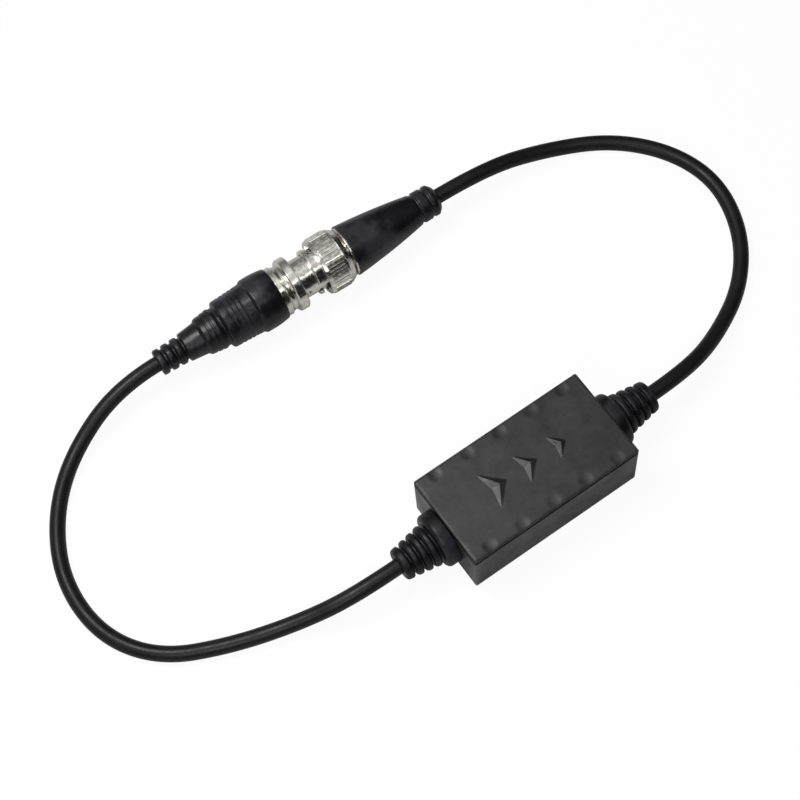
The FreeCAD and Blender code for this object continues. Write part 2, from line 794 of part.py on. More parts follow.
def make_ring_core():
    """Make the ring core that lies over the middle of the board."""
    body = new_body("ring_core")
    top = f"{CORE_BASE} + core_height"
    inner, outer, bevel = "core_inner_radius", "core_outer_radius", "core_chamfer"
    revolve(body, "CoreProfile", [
        (f"{inner} + {bevel}", CORE_BASE), (f"{outer} - {bevel}", CORE_BASE),
        (outer, f"{CORE_BASE} + {bevel}"), (outer, f"{top} - {bevel}"),
        (f"{outer} - {bevel}", top), (f"{inner} + {bevel}", top),
        (inner, f"{top} - {bevel}"), (inner, f"{CORE_BASE} + {bevel}"),
    ], axis="V_Axis")


def make_winding(label, middle_angle):
    """Make one winding: loops of wire round the core's section, side by side."""
    span = "(winding_turns - 1) * winding_turn_angle"
    start_angle = middle_angle - value(span) / 2
    body = new_body(label, Placement(Vector(), Rotation(Vector(0, 0, 1), start_angle)))
    loop = new_sketch(body, "LoopSection", "XZ_Plane")
    gap, wire = "winding_clearance", "winding_wire"
    middle = "(core_inner_radius + core_outer_radius) / 2"
    height = f"{CORE_BASE} + core_height / 2"
    for extra in (gap, f"{gap} + {wire}"):
        rectangle(
            loop, f"core_outer_radius - core_inner_radius + 2 * ({extra})",
            f"core_height + 2 * ({extra})", middle, height,
        )
    turn = pad(body, loop, wire, symmetric=True)
    ring_pattern(body, [turn], loop, "V_Axis", "winding_turns", span)


def make_capacitor():
    """Make the coupling capacitor, its leads running through the board."""
    body = new_body("coupling_capacitor")
    case = new_sketch(body, "CapacitorOutline", "XY_Plane", BOARD_TOP)
    rectangle(case, "capacitor_thickness", "capacitor_length", "capacitor_offset_x", "capacitor_offset_y")
    pad(body, case, "capacitor_height")
    dress(body, "Chamfer", "capacitor_edge", upright)
    leads = new_sketch(body, "CapacitorLeads", "XY_Plane", BOARD_TOP)
    for side in ("-", "+"):
        circle(
            leads, "lead_wire_radius", "capacitor_offset_x",
            f"capacitor_offset_y {side} capacitor_lead_spacing / 2",
        )
    pad(body, leads, "board_thickness + lead_tail", backwards=True)


def make_resistor():
    """Make the bleed resistor with its necked body and bent-down leads."""
    axis_height = f"{BOARD_TOP} + resistor_gap + resistor_radius"
    body = new_body("bleed_resistor", Placement(
        Vector(value("resistor_offset_x"), value("resistor_offset_y"), value(axis_height)),
        Rotation(Vector(0, 0, 1), 90),
    ))
    half, thin = "resistor_length / 2", "resistor_radius * resistor_waist_share"
    cap = f"{half} - resistor_cap_length"
    waist = f"{cap} - resistor_cap_slope"
    lead_end = "resistor_lead_spacing / 2 + 1.3 * lead_wire_radius"
    wire = "lead_wire_radius"
    revolve(body, "ResistorProfile", [
        (f"-({lead_end})", "0"), (f"-({lead_end})", wire), (f"-({half})", wire),
        (f"-({half})", "resistor_radius"), (f"-({cap})", "resistor_radius"),
        (f"-({waist})", thin), (waist, thin), (cap, "resistor_radius"),
        (half, "resistor_radius"), (half, wire), (lead_end, wire), (lead_end, "0"),
    ])
    legs = new_sketch(body, "ResistorLegs", "XY_Plane")
    for side in ("-", ""):
        circle(legs, "lead_leg_radius", f"{side}resistor_lead_spacing / 2")
    pad(body, legs, "resistor_gap + resistor_radius + board_thickness + lead_tail", backwards=True)


# Jack: metal body with lugs, insulator, centre contact and cable end

def make_jack_body():
    """Make the jack's metal body: tail, ring, flange, tube, lugs, cavity and hole."""
    body = new_body("jack_body", turned(CONNECTOR, value("lug_angle")))
    rear, front = f"-{JACK_REAR}", "jack_flange_front"
    ring_front = f"{rear} + jack_ring_width"
    flange_rear = f"{ring_front} + jack_waist_width"
    tail = f"{rear} - jack_tail_length"
    bevel = "metal_chamfer"
    points = [
        (tail, "0"), (tail, "jack_tail_radius"),
        (f"{rear} - 2 * tail_groove_width - jack_tail_length / 3", "jack_tail_radius"),
        (f"{rear} - 2 * tail_groove_width - jack_tail_length / 3", "jack_tail_radius - tail_groove_depth"),
        (f"{rear} - tail_groove_width - jack_tail_length / 3", "jack_tail_radius - tail_groove_depth"),
        (f"{rear} - tail_groove_width - jack_tail_length / 3", "jack_tail_radius"),
        (rear, "jack_tail_radius"), (rear, "jack_ring_radius"),
        (f"{ring_front} - {bevel}", "jack_ring_radius"), (ring_front, f"jack_ring_radius - {bevel}"),
        (f"{ring_front} + jack_waist_slope", "jack_waist_radius"),
        (f"{flange_rear} - jack_waist_slope", "jack_waist_radius"),
        (flange_rear, f"jack_flange_radius - {bevel}"), (f"{flange_rear} + {bevel}", "jack_flange_radius"),
        (f"{front} - {bevel}", "jack_flange_radius"), (front, f"jack_flange_radius - {bevel}"),
        (front, "jack_tube_radius"), (f"jack_tube_end - {bevel}", "jack_tube_radius"),
        ("jack_tube_end", f"jack_tube_radius - {bevel}"), ("jack_tube_end", "0"),
    ]
    revolve(body, "JackProfile", points)

    lugs = new_sketch(body, "Lugs", "XY_Plane")
    circle(lugs, "lug_radius", across="lug_station")
    pad(body, lugs, "2 * lug_top_radius", symmetric=True)
    cavity_rear = "jack_tube_end - jack_cavity_depth"
    groove(body, "JackCavity", [
        (f"{tail} - 1", "0"), (f"{tail} - 1", "jack_insulator_radius"),
        (cavity_rear, "jack_insulator_radius"), (cavity_rear, "jack_cavity_radius"),
        ("jack_tube_end + 1", "jack_cavity_radius"), ("jack_tube_end + 1", "0"),
    ])

    hole = new_sketch(body, "CaptiveHole", "XY_Plane")
    circle(hole, "captive_hole_radius", across="captive_hole_station")
    turn = "(captive_hole_angle - lug_angle)"
    hole.AttachmentOffset = Placement(Vector(), Rotation(Vector(1, 0, 0), value(turn)))
    hole.setExpression("AttachmentOffset.Base.y", bound(f"-jack_tube_radius * sin({turn})"))
    hole.setExpression("AttachmentOffset.Base.z", bound(f"jack_tube_radius * cos({turn})"))
    pocket(body, hole, "captive_hole_depth")


def make_jack_insulator():
    """Make the insulator that fills the jack's rear bore and boss."""
    body = new_body("jack_insulator", CONNECTOR)
    rear = f"-{JACK_REAR} - jack_tail_length + jack_insulator_recess"
    face = "jack_tube_end - jack_cavity_depth"
    bore = "jack_contact_radius + fit_gap"
    outer = "jack_insulator_radius - fit_gap"
    revolve(body, "JackInsulatorProfile", [
        (rear, bore), (rear, outer), (face, outer), (face, "jack_boss_radius"),
        ("jack_boss_end", "jack_boss_radius"), ("jack_boss_end", bore),
    ])


def make_jack_contact():
    """Make the jack's centre contact, its bore split by one slot."""
    body = new_body("jack_contact", CONNECTOR)
    rear = f"-{JACK_REAR} - jack_tail_length"
    bore = "pin_contact_radius + contact_gap"
    floor = "jack_contact_end - jack_contact_depth"
    revolve(body, "JackContactProfile", [
        (rear, "0"), (rear, "jack_contact_radius"), ("jack_contact_end", "jack_contact_radius"),
        ("jack_contact_end", bore), (floor, bore), (floor, "0"),
    ])
    slot = new_sketch(body, "ContactSlot", "XZ_Plane")
    rectangle(
        slot, "jack_contact_slot_depth", "jack_contact_slot",
        across="jack_contact_end - jack_contact_slot_depth / 2",
    )
    pocket(body, slot, "4 * jack_contact_radius", symmetric=True)


# Plug: metal body with slotted sleeve, insulator, pin, gasket, rings and collar

def make_plug_body():
    """Make the plug's metal body: slotted sleeve, hub, rim and tail."""
    body = new_body("plug_body", CONNECTOR)
    front, bevel = "sleeve_contact_front", "plug_bevel"
    tail = f"{RIM_REAR} + plug_tail_length"
    groove_end = f"{RIM_REAR} + plug_tail_length / 2"
    revolve(body, "PlugProfile", [
        (front, "sleeve_contact_bore"), (front, f"sleeve_contact_radius - {bevel}"),
        (f"{front} + {bevel}", "sleeve_contact_radius"),
        (RETAINER_FRONT, "sleeve_contact_radius"), (RETAINER_FRONT, "retainer_groove_radius"),
        (RETAINER_REAR, "retainer_groove_radius"), (RETAINER_REAR, "hub_radius"),
        (RIM_FRONT, "hub_radius"), (RIM_FRONT, f"rim_radius - {bevel}"),
        (f"{RIM_FRONT} + {bevel}", "rim_radius"), (RIM_REAR, "rim_radius"),
        (RIM_REAR, "jack_tail_radius"), (f"{groove_end} - tail_groove_width", "jack_tail_radius"),
        (f"{groove_end} - tail_groove_width", "jack_tail_radius - tail_groove_depth"),
        (groove_end, "jack_tail_radius - tail_groove_depth"), (groove_end, "jack_tail_radius"),
        (tail, "jack_tail_radius"), (tail, "plug_tail_bore"),
        ("plug_insulator_rear + fit_gap", "plug_tail_bore"),
        ("plug_insulator_rear + fit_gap", "sleeve_contact_bore"),
    ])
    slot = new_sketch(body, "FingerSlot", "XZ_Plane")
    rectangle(
        slot, "sleeve_contact_slot_depth", "sleeve_contact_slot",
        across=f"{front} + sleeve_contact_slot_depth / 2 - 0.05",
    )
    first = pocket(body, slot, "sleeve_contact_radius + 1", backwards=False)
    ring_pattern(body, [first], slot, "H_Axis", "sleeve_contact_slots")


def make_plug_insulator():
    """Make the insulator inside the plug's hub."""
    body = new_body("plug_insulator", CONNECTOR)
    outer, bore = "sleeve_contact_bore - fit_gap", "pin_contact_radius + fit_gap"
    revolve(body, "PlugInsulatorProfile", [
        ("plug_insulator_front", bore), ("plug_insulator_front", outer),
        ("plug_insulator_rear", outer), ("plug_insulator_rear", bore),
    ])


def make_plug_pin():
    """Make the plug's centre pin with its rear collar."""
    body = new_body("plug_pin", CONNECTOR)
    tip, nose = "pin_contact_tip", "pin_nose"
    collar = "plug_insulator_rear + fit_gap"
    revolve(body, "PinProfile", [
        (tip, "0"), (tip, f"pin_contact_radius - {nose}"), (f"{tip} + {nose}", "pin_contact_radius"),
        (collar, "pin_contact_radius"), (collar, "pin_collar_radius"),
        ("pin_rear", "pin_collar_radius"), ("pin_rear", "0"),
    ])


def make_gasket():
    """Make the sealing gasket between the jack's mouth and the retaining ring."""
    body = new_body("sealing_gasket", CONNECTOR)
    inner, front = "sleeve_contact_radius + fit_gap", "jack_tube_end"
    rear = f"{front} + gasket_thickness"
    revolve(body, "GasketProfile", [
        (front, inner), (front, "gasket_outer_radius"), (rear, "gasket_outer_radius"), (rear, inner),
    ])


def make_retaining_ring():
    """Make the open ring that sits in the hub's groove."""
    body = new_body("retaining_ring", CONNECTOR)
    inner = "retainer_groove_radius + contact_gap"
    revolve(body, "RetainerProfile", [
        (RETAINER_FRONT, inner), (RETAINER_FRONT, "retainer_radius"),
        (RETAINER_REAR, "retainer_radius"), (RETAINER_REAR, inner),
    ])
    opening = new_sketch(body, "RetainerOpening", "YZ_Plane", RETAINER_FRONT)
    reach = "2 * retainer_radius"
    polygon(opening, [
        ("0", "0"), (f"-{reach} * sin(retainer_opening / 2)", f"-{reach} * cos(retainer_opening / 2)"),
        (f"{reach} * sin(retainer_opening / 2)", f"-{reach} * cos(retainer_opening / 2)"),
    ])
    pocket(body, opening, "2 * retainer_thickness", symmetric=True)


def make_washer(label, front, rear):
    """Make a flat ring that runs on the plug's hub."""
    body = new_body(label, CONNECTOR)
    inner = "hub_radius + web_clearance"
    revolve(body, "WasherProfile", [
        (front, inner), (front, "washer_radius"), (rear, "washer_radius"), (rear, inner),
    ])


def make_collar():
    """Make the knurled collar with its two helical tracks, front hooks and rear web."""
    lead = "(unlock_travel * 360 / unlock_turn)"
    slack = "(lug_radius + lug_clearance)"
    end_angle = f"({slack} * 180 / pi / lug_top_radius + 1)"
    span = f"(unlock_turn + 2 * {end_angle})"
    locked = value(f"{span} - {end_angle}")
    body = new_body("bayonet_collar", turned(CONNECTOR, value("lug_angle") - locked))
    bore = "jack_tube_radius + collar_bore_clearance"
    sleeve_rear = "collar_front + sleeve_length"
    groove_front = "knurl_rear + collar_groove_slope"
    groove_rear = f"{groove_front} + collar_groove_width"
    revolve(body, "CollarProfile", [
        ("collar_front", bore), ("collar_front", "sleeve_radius - collar_bevel"),
        ("collar_front + collar_bevel", "sleeve_radius"), (sleeve_rear, "sleeve_radius"),
        (sleeve_rear, "shoulder_radius"), ("knurl_front", "knurl_radius"),
        ("knurl_rear", "knurl_radius"), (groove_front, "collar_groove_radius"),
        (groove_rear, "collar_groove_radius"),
        (f"{groove_rear} + collar_groove_slope / 2", "knurl_radius - collar_bevel"),
        (COLLAR_REAR, "collar_rear_radius"), (COLLAR_REAR, "hub_radius + web_clearance"),
        (WEB_FRONT, "hub_radius + web_clearance"), (WEB_FRONT, "washer_room_radius"),
        (f"{RETAINER_FRONT} - 0.1", "washer_room_radius"), (f"{RETAINER_FRONT} - 0.1", bore),
    ])

    knurl = new_sketch(body, "KnurlCut", "YZ_Plane", "knurl_front - 0.05")
    half_gap = "(pi * knurl_radius / knurl_count - knurl_land / 2)"
    polygon(knurl, [
        (f"-{half_gap} * knurl_root_share", "knurl_radius - knurl_depth"),
        (f"{half_gap} * knurl_root_share", "knurl_radius - knurl_depth"),
        (half_gap, "knurl_radius + 0.1"), (f"-{half_gap}", "knurl_radius + 0.1"),
    ])
    tooth = pocket(body, knurl, "knurl_rear - knurl_front + 0.3", backwards=True)
    ring_pattern(body, [tooth], knurl, "N_Axis", "knurl_count")

    track = new_sketch(body, "TrackSection", "XZ_Plane")
    station = f"lug_station - {lead} * ({span} - {end_angle}) / 360"
    rectangle(
        track, f"2 * {slack}", "track_floor_radius - jack_tube_radius + 0.5",
        across=station, up="(track_floor_radius + jack_tube_radius - 0.5) / 2",
    )
    before = body.Shape.Volume
    helix = body.newObject("PartDesign::SubtractiveHelix", "Track")
    helix.Profile = track
    helix.ReferenceAxis = (track, ["H_Axis"])
    helix.Mode = 0
    helix.setExpression("Pitch", bound(lead))
    helix.setExpression("Height", bound(f"{lead} * {span} / 360"))
    helix.LeftHanded = False
    check_cut(body, before, helix)
    tracks = ring_pattern(body, [helix], track, "H_Axis", "2")

    entry = new_sketch(body, "TrackEntry", "XY_Plane")
    entry.AttachmentOffset = Placement(Vector(), Rotation(Vector(1, 0, 0), value(end_angle)))
    mouth = f"({station} + {lead} * {end_angle} / 360)"
    rectangle(
        entry, f"{mouth} - collar_front + 1", f"2 * {slack}",
        across=f"({mouth} + collar_front - 1) / 2",
    )
    pocket(body, entry, "2 * track_floor_radius", symmetric=True)


# Boots moulded over the connectors' tails

JACK_BOOT_LENGTH = "(jack_neck_end + boot_rib_count * boot_rib_pitch)"


def ringed_taper(start, start_radius, end, end_radius, first, pitch, count, width, depth):
    """Return a tapering stretch of outline with shallow square grooves along it."""
    def skin(station):
        """Return the taper's radius at a station."""
        return f"{start_radius} + ({station} - {start}) * ({end_radius} - {start_radius}) / ({end} - {start})"

    points = [(start, start_radius)]
    for number in range(int(value(count))):
        near = f"({first} + {number} * {pitch})"
        far = f"({near} + {width})"
        points += [(near, skin(near)), (near, f"{skin(near)} - {depth}"),
                   (far, f"{skin(far)} - {depth}"), (far, skin(far))]
    points.append((end, end_radius))
    return points


def make_jack_boot():
    """Make the jack's boot: collar, grooved grip, cone, neck and ribs."""
    body = new_body("jack_boot", JACK_BOOT)
    points = [("0", "jack_mouth_radius"), ("jack_collar_start", "jack_collar_radius"),
              ("jack_collar_end", "jack_collar_radius")]
    points += ringed_taper(
        "jack_grip_start", "jack_grip_radius", "jack_grip_end", "jack_grip_end_radius",
        "grip_groove_first", "grip_groove_pitch", "grip_groove_count", "grip_groove_width",
        "grip_groove_depth",
    )
    cone_start = "(jack_grip_end + shoulder_groove_width + 0.4)"
    points += [("jack_grip_end + 0.4", "shoulder_groove_radius"), (cone_start, "shoulder_groove_radius")]
    points += ringed_taper(
        cone_start, "jack_cone_radius", "jack_cone_end", "jack_cone_end_radius",
        "cone_groove_first", "cone_groove_pitch", "cone_groove_count", "grip_groove_width",
        "cone_groove_depth",
    )
    points += [("jack_neck_start", "jack_neck_radius"), ("jack_neck_end", "jack_neck_end_radius")]
    for number in range(int(value("boot_rib_count"))):
        radius = f"(boot_rib_radius - {number} * boot_rib_taper)"
        end = f"(jack_neck_end + {number + 1} * boot_rib_pitch)"
        start = f"({end} - boot_rib_width)"
        low, bend = f"{radius} - boot_rib_groove", "boot_rib_round"
        points += [
            (f"{end} - boot_rib_pitch + boot_rib_flank", low), (f"{start} - boot_rib_flank", low),
            (start, f"{radius} - {bend}", quarter(bend)), (f"{start} + {bend}", radius),
            (f"{end} - {bend}", radius, quarter(bend)), (end, f"{radius} - {bend}"),
        ]
    bore = "cable_radius + bore_clearance"
    depth = "jack_tail_length + fit_gap"
    points += [(JACK_BOOT_LENGTH, bore), (depth, bore), (depth, "jack_tail_radius + fit_gap"),
               ("0", "jack_tail_radius + fit_gap")]
    revolve(body, "JackBootProfile", points)


def make_plug_boot():
    """Make the plug's boot: swelling cone, neck ring and end ring."""
    body = new_body("plug_boot", PLUG_BOOT)
    neck, ring, slot = "plug_neck_station", "plug_ring_width", "plug_groove_width"
    low = "plug_neck_radius - plug_groove_depth"
    ring_start = f"{neck} + {slot}"
    ring_end = f"{ring_start} + {ring}"
    last_start = f"{ring_end} + {slot}"
    points = [
        ("0", "plug_mouth_radius", "plug_boot_bulge"), (neck, "plug_neck_radius"), (neck, low),
        (ring_start, low),
        (ring_start, "plug_neck_radius"), (ring_end, "plug_neck_radius"), (ring_end, low),
        (last_start, low), (last_start, "plug_end_radius"),
        ("plug_boot_length - plug_tail_chamfer", "plug_end_radius"),
        ("plug_boot_length", "plug_end_radius - plug_tail_chamfer"),
    ]
    bore = "cable_radius + bore_clearance"
    depth = "plug_tail_length + fit_gap"
    points += [("plug_boot_length", bore), (depth, bore), (depth, "jack_tail_radius + fit_gap"),
               ("0", "jack_tail_radius + fit_gap")]
    revolve(body, "PlugBootProfile", points)


def make_boot_lead(label, placement, length, contact_end):
    """Make the stripped cable end in a boot: jacket, dielectric and core wire."""
    body = new_body(label, placement)
    jacket_end = f"({contact_end} + 2 * dielectric_length)"
    dielectric_end = f"({contact_end} + dielectric_length)"
    revolve(body, "BootLeadProfile", [
        (contact_end, "0"), (contact_end, "core_wire_radius"),
        (dielectric_end, "core_wire_radius"), (dielectric_end, "dielectric_radius"),
        (jacket_end, "dielectric_radius"), (jacket_end, "cable_radius"),
        (length, "cable_radius"), (length, "0"),
    ])


# Free cables: straight runs joined by tangent arcs, laid on the floor

ARC_SHARE = 0.45


def rounded_path(points):
    """Return a wire along the points with an arc at each, and the arcs' radii."""
    edges, radii = [], []
    start = points[0]
    for before, corner, after in zip(points, points[1:], points[2:]):
        reach = ARC_SHARE * min((corner - before).Length, (after - corner).Length)
        arrive, leave = (corner - before).normalize(), (after - corner).normalize()
        half_turn = arrive.getAngle(leave) / 2
        radii.append(reach / math.tan(half_turn))
        enter, exit_point = corner - arrive * reach, corner + leave * reach
        inward = (leave - arrive).normalize()
        middle = corner + inward * (radii[-1] / math.cos(half_turn) - radii[-1])
        edges += [Part.LineSegment(start, enter).toShape(), Part.Arc(enter, middle, exit_point).toShape()]
        start = exit_point
    edges.append(Part.LineSegment(start, points[-1]).toShape())
    return Part.Wire(edges), radii


def make_cable(label, places):
    """Make one free cable as a tube along its rounded route."""
    points = [Vector(*place) for place in places]
    path, radii = rounded_path(points)
    radius = value("cable_radius")
    section = Part.Wire([Part.Circle(points[0], (points[1] - points[0]).normalize(), radius).toShape()])
    tube = path.makePipeShell([section], True, False)
    cable = doc.addObject("Part::Feature", label)
    cable.Label = label
    cable.Shape = tube
    cable.Placement = Placement()
    NODES.append(cable)
    share = tube.Volume / (math.pi * radius ** 2 * path.Length)
    listed = ", ".join(f"{one:.1f}" for one in radii)
    print(f"{label}: length {path.Length:.1f}, volume share {share:.4f}, bend radii {listed}")


def port_exit(side):
    """Return where the cable leaves the relief's tip at one port."""
    return tuple(port_frame(side).multVec(Vector(value("relief_length"), 0, 0)))


FLOOR = value("cable_radius + cable_floor_gap")
JACK_TAIL = JACK_BOOT.multVec(Vector(value(JACK_BOOT_LENGTH), 0, 0))
JACK_AIM = JACK_BOOT.multVec(Vector(value(f"{JACK_BOOT_LENGTH} + jack_end_run"), 0, 0))
PLUG_TAIL = PLUG_BOOT.multVec(Vector(value("plug_boot_length"), 0, 0))
PLUG_AIM = PLUG_BOOT.multVec(Vector(value("plug_boot_length + plug_end_run"), 0, 0))
PORT_HEIGHT = value("port_height")

INPUT_ROUTE = [
    port_exit(-1),
    (-46.0, 0.0, PORT_HEIGHT),
    (-58.5, 3.6, 2.9),
    (-73.5, 8.3, FLOOR),
    (-88.0, 15.2, FLOOR),
    (-95.9, 27.2, FLOOR),
    (-96.4, 42.8, FLOOR),
    (-89.8, 57.2, FLOOR),
    (-78.8, 68.0, FLOOR),
    tuple(JACK_AIM),
    tuple(JACK_TAIL),
]
OUTPUT_ROUTE = [
    port_exit(1),
    (45.0, 0.0, PORT_HEIGHT),
    (57.5, 4.2, 3.0),
    (70.5, 11.2, FLOOR),
    (79.8, 22.3, FLOOR),
    (83.9, 36.4, FLOOR),
    (80.3, 49.5, FLOOR),
    (70.6, 60.8, FLOOR),
    (56.5, 67.6, 2.6),
    tuple(PLUG_AIM),
    tuple(PLUG_TAIL),
]


def export_parts():
    """Check every object and sub-part, then write one STEP file for each."""
    doc.recompute()
    for item in doc.Objects:
        if "Invalid" in item.State or "Error" in item.State:
            raise ValueError(f"{item.Label} failed: {item.State}")
    os.makedirs("parts", exist_ok=True)
    for node in NODES:
        shape = node.Shape
        if shape.isNull() or not shape.isValid():
            raise ValueError(f"{node.Label} has no valid shape")
        print(f"{node.Label}: {len(shape.Solids)} solid, {shape.Volume:.1f} cubic mm")
        shape.exportStep(os.path.join("parts", node.Label + ".step"))


def main():
    """Make every sub-part and export them."""
    make_case_base()
    make_case_lid()
    make_relief("input_strain_relief", -1)
    make_relief("output_strain_relief", 1)
    make_board()
    make_ring_core()
    make_winding("input_winding", 180)
    make_winding("output_winding", 0)
    make_capacitor()
    make_resistor()
    make_lead_end("input", -1)
    make_lead_end("output", 1)
    make_jack_body()
    make_jack_insulator()
    make_jack_contact()
    make_jack_boot()
    make_boot_lead("jack_lead_end", JACK_BOOT, JACK_BOOT_LENGTH, "jack_tail_length")
    make_plug_body()
    make_plug_insulator()
    make_plug_pin()
    make_gasket()
    make_retaining_ring()
    make_washer("wave_washer", RETAINER_REAR, WAVE_REAR)
    make_washer("thrust_washer", WAVE_REAR, WEB_FRONT)
    make_collar()
    make_plug_boot()
    make_boot_lead("plug_lead_end", PLUG_BOOT, "plug_boot_length", f"(pin_rear - {RIM_REAR})")
    make_cable("input_cable", INPUT_ROUTE)
    make_cable("output_cable", OUTPUT_ROUTE)
    export_parts()


main()
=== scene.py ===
"""Looks of the video ground loop isolator: its case, cables and mated connectors.

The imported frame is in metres: its origin lies under the middle of the case, +X
runs from the input end to the output end and +Z is up. The mouldings' sizes are
in millimetres along their own axes, and a placing turns them into metres.
"""

import json
import logging
import math
from dataclasses import dataclass
from enum import Enum
from typing import Callable, Sequence

import bmesh
import bpy
from mathutils import Matrix, Vector

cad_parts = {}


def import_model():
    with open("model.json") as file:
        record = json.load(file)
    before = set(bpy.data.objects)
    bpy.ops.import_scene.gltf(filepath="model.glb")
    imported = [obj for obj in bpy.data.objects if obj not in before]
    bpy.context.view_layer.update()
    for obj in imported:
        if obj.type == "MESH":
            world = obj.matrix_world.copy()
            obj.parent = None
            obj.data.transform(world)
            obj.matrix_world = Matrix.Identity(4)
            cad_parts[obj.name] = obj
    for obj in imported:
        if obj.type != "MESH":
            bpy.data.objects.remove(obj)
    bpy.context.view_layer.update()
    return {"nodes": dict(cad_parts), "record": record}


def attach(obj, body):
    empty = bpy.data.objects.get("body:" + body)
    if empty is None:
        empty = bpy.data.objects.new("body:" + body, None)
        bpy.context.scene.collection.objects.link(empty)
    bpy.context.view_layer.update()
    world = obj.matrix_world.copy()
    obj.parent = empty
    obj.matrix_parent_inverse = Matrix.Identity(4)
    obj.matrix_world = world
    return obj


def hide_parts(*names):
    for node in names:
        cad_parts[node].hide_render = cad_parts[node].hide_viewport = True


LOG = logging.getLogger("isolator")
MM = 0.001

Colour = tuple[float, float, float]
Point = tuple[float, float, float]
Station = tuple[float, float]
Skin = Callable[[float], float]


class Body(Enum):
    """Rigid bodies that new pieces ride on."""

    ISOLATOR = "isolator"


class Axis(Enum):
    """Axes along which a material reads its distance from a level."""

    ACROSS = "Y"
    UP = "Z"


@dataclass(frozen=True)
class Placing:
    """Frame of a sub-assembly: where its axis starts and how it is turned about Z."""

    origin: Point
    turn_deg: float = 0.0

    def matrix(self) -> Matrix:
        """Write the placing as a matrix.

        Returns:
            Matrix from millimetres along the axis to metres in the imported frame.
        """
        spot = Matrix.Translation(Vector(self.origin) * MM)
        turn = Matrix.Rotation(math.radians(self.turn_deg), 4, "Z")
        return spot @ turn @ Matrix.Scale(MM, 4)

    def along(self, distance: float, turn_deg: float = 0.0) -> "Placing":
        """Return the placing moved along its own axis, then turned.

        Args:
            distance: Way along the axis in millimetres.
            turn_deg: Further turn about Z.

        Returns:
            New placing.
        """
        spot = self.matrix() @ Vector((distance, 0.0, 0.0)) / MM
        return Placing(tuple(spot), self.turn_deg + turn_deg)


INPUT_PORT = Placing((-22.1, 0.0, 7.75), 180.0)
OUTPUT_PORT = Placing((22.1, 0.0, 7.75))
CONNECTOR = Placing((-12.3, 71.8, 7.3), -1.82)
JACK_REAR = CONNECTOR.along(-6.9, 180.0)
PLUG_REAR = CONNECTOR.along(12.6)


@dataclass(frozen=True)
class ShadowBand:
    """Level strip that lies dark, such as the side of a lid above its seam.

    Attributes:
        middle_mm: Height of the strip's middle.
        full_mm: Distance from the middle up to which it is fully dark.
        end_mm: Distance from the middle at which it has ended.
        colour: Colour in the strip.
        specular: Specular level in the strip.
    """

    middle_mm: float = 14.5
    full_mm: float = 0.52
    end_mm: float = 0.66
    colour: Colour = (0.002, 0.002, 0.0022)
    specular: float = 0.12


@dataclass(frozen=True)
class Rim:
    """Strips along both long sides of a case where its shading is softer.

    Attributes:
        radius_mm: Radius of the shading's rounding in the strips.
        start_mm: Distance from the middle at which the strips start.
        full_mm: Distance from the middle beyond which they have their full effect.
        levelled: Share by which shallow slopes are shaded as if level.
        steep: Upward part of the normal up to which a slope stays as it is.
        shallow: Upward part of the normal from which a slope counts as shallow.
    """

    radius_mm: float = 1.1
    start_mm: float = 5.5
    full_mm: float = 7.0
    levelled: float = 0.45
    steep: float = 0.8
    shallow: float = 0.9


@dataclass(frozen=True)
class Pattern:
    """Noise pattern.

    Attributes:
        scale: Cells per unit of the place that is read, a metre if it isn't stretched.
        detail: Octaves.
        weight: Weight of the finer octaves.
    """

    scale: float
    detail: float = 3.0
    weight: float = 0.5


class NodeGraph:
    """Nodes and links of one tree."""

    def __init__(self, tree: bpy.types.NodeTree) -> None:
        """Keep the nodes and links of a tree.

        Args:
            tree: Tree of a material or of the world.
        """
        self.nodes = tree.nodes
        self.links = tree.links

    def calculate(
        self, operation: str, *values: bpy.types.NodeSocket | float
    ) -> bpy.types.NodeSocket:
        """Return the result of one arithmetic node.

        Args:
            operation: Operation of the Math node.
            values: Sockets or numbers to work with.

        Returns:
            Value socket.
        """
        node = self.nodes.new("ShaderNodeMath")
        node.operation = operation
        for place, value in zip(node.inputs, values):
            if isinstance(value, bpy.types.NodeSocket):
                self.links.new(value, place)
            else:
                place.default_value = value
        return node.outputs["Value"]


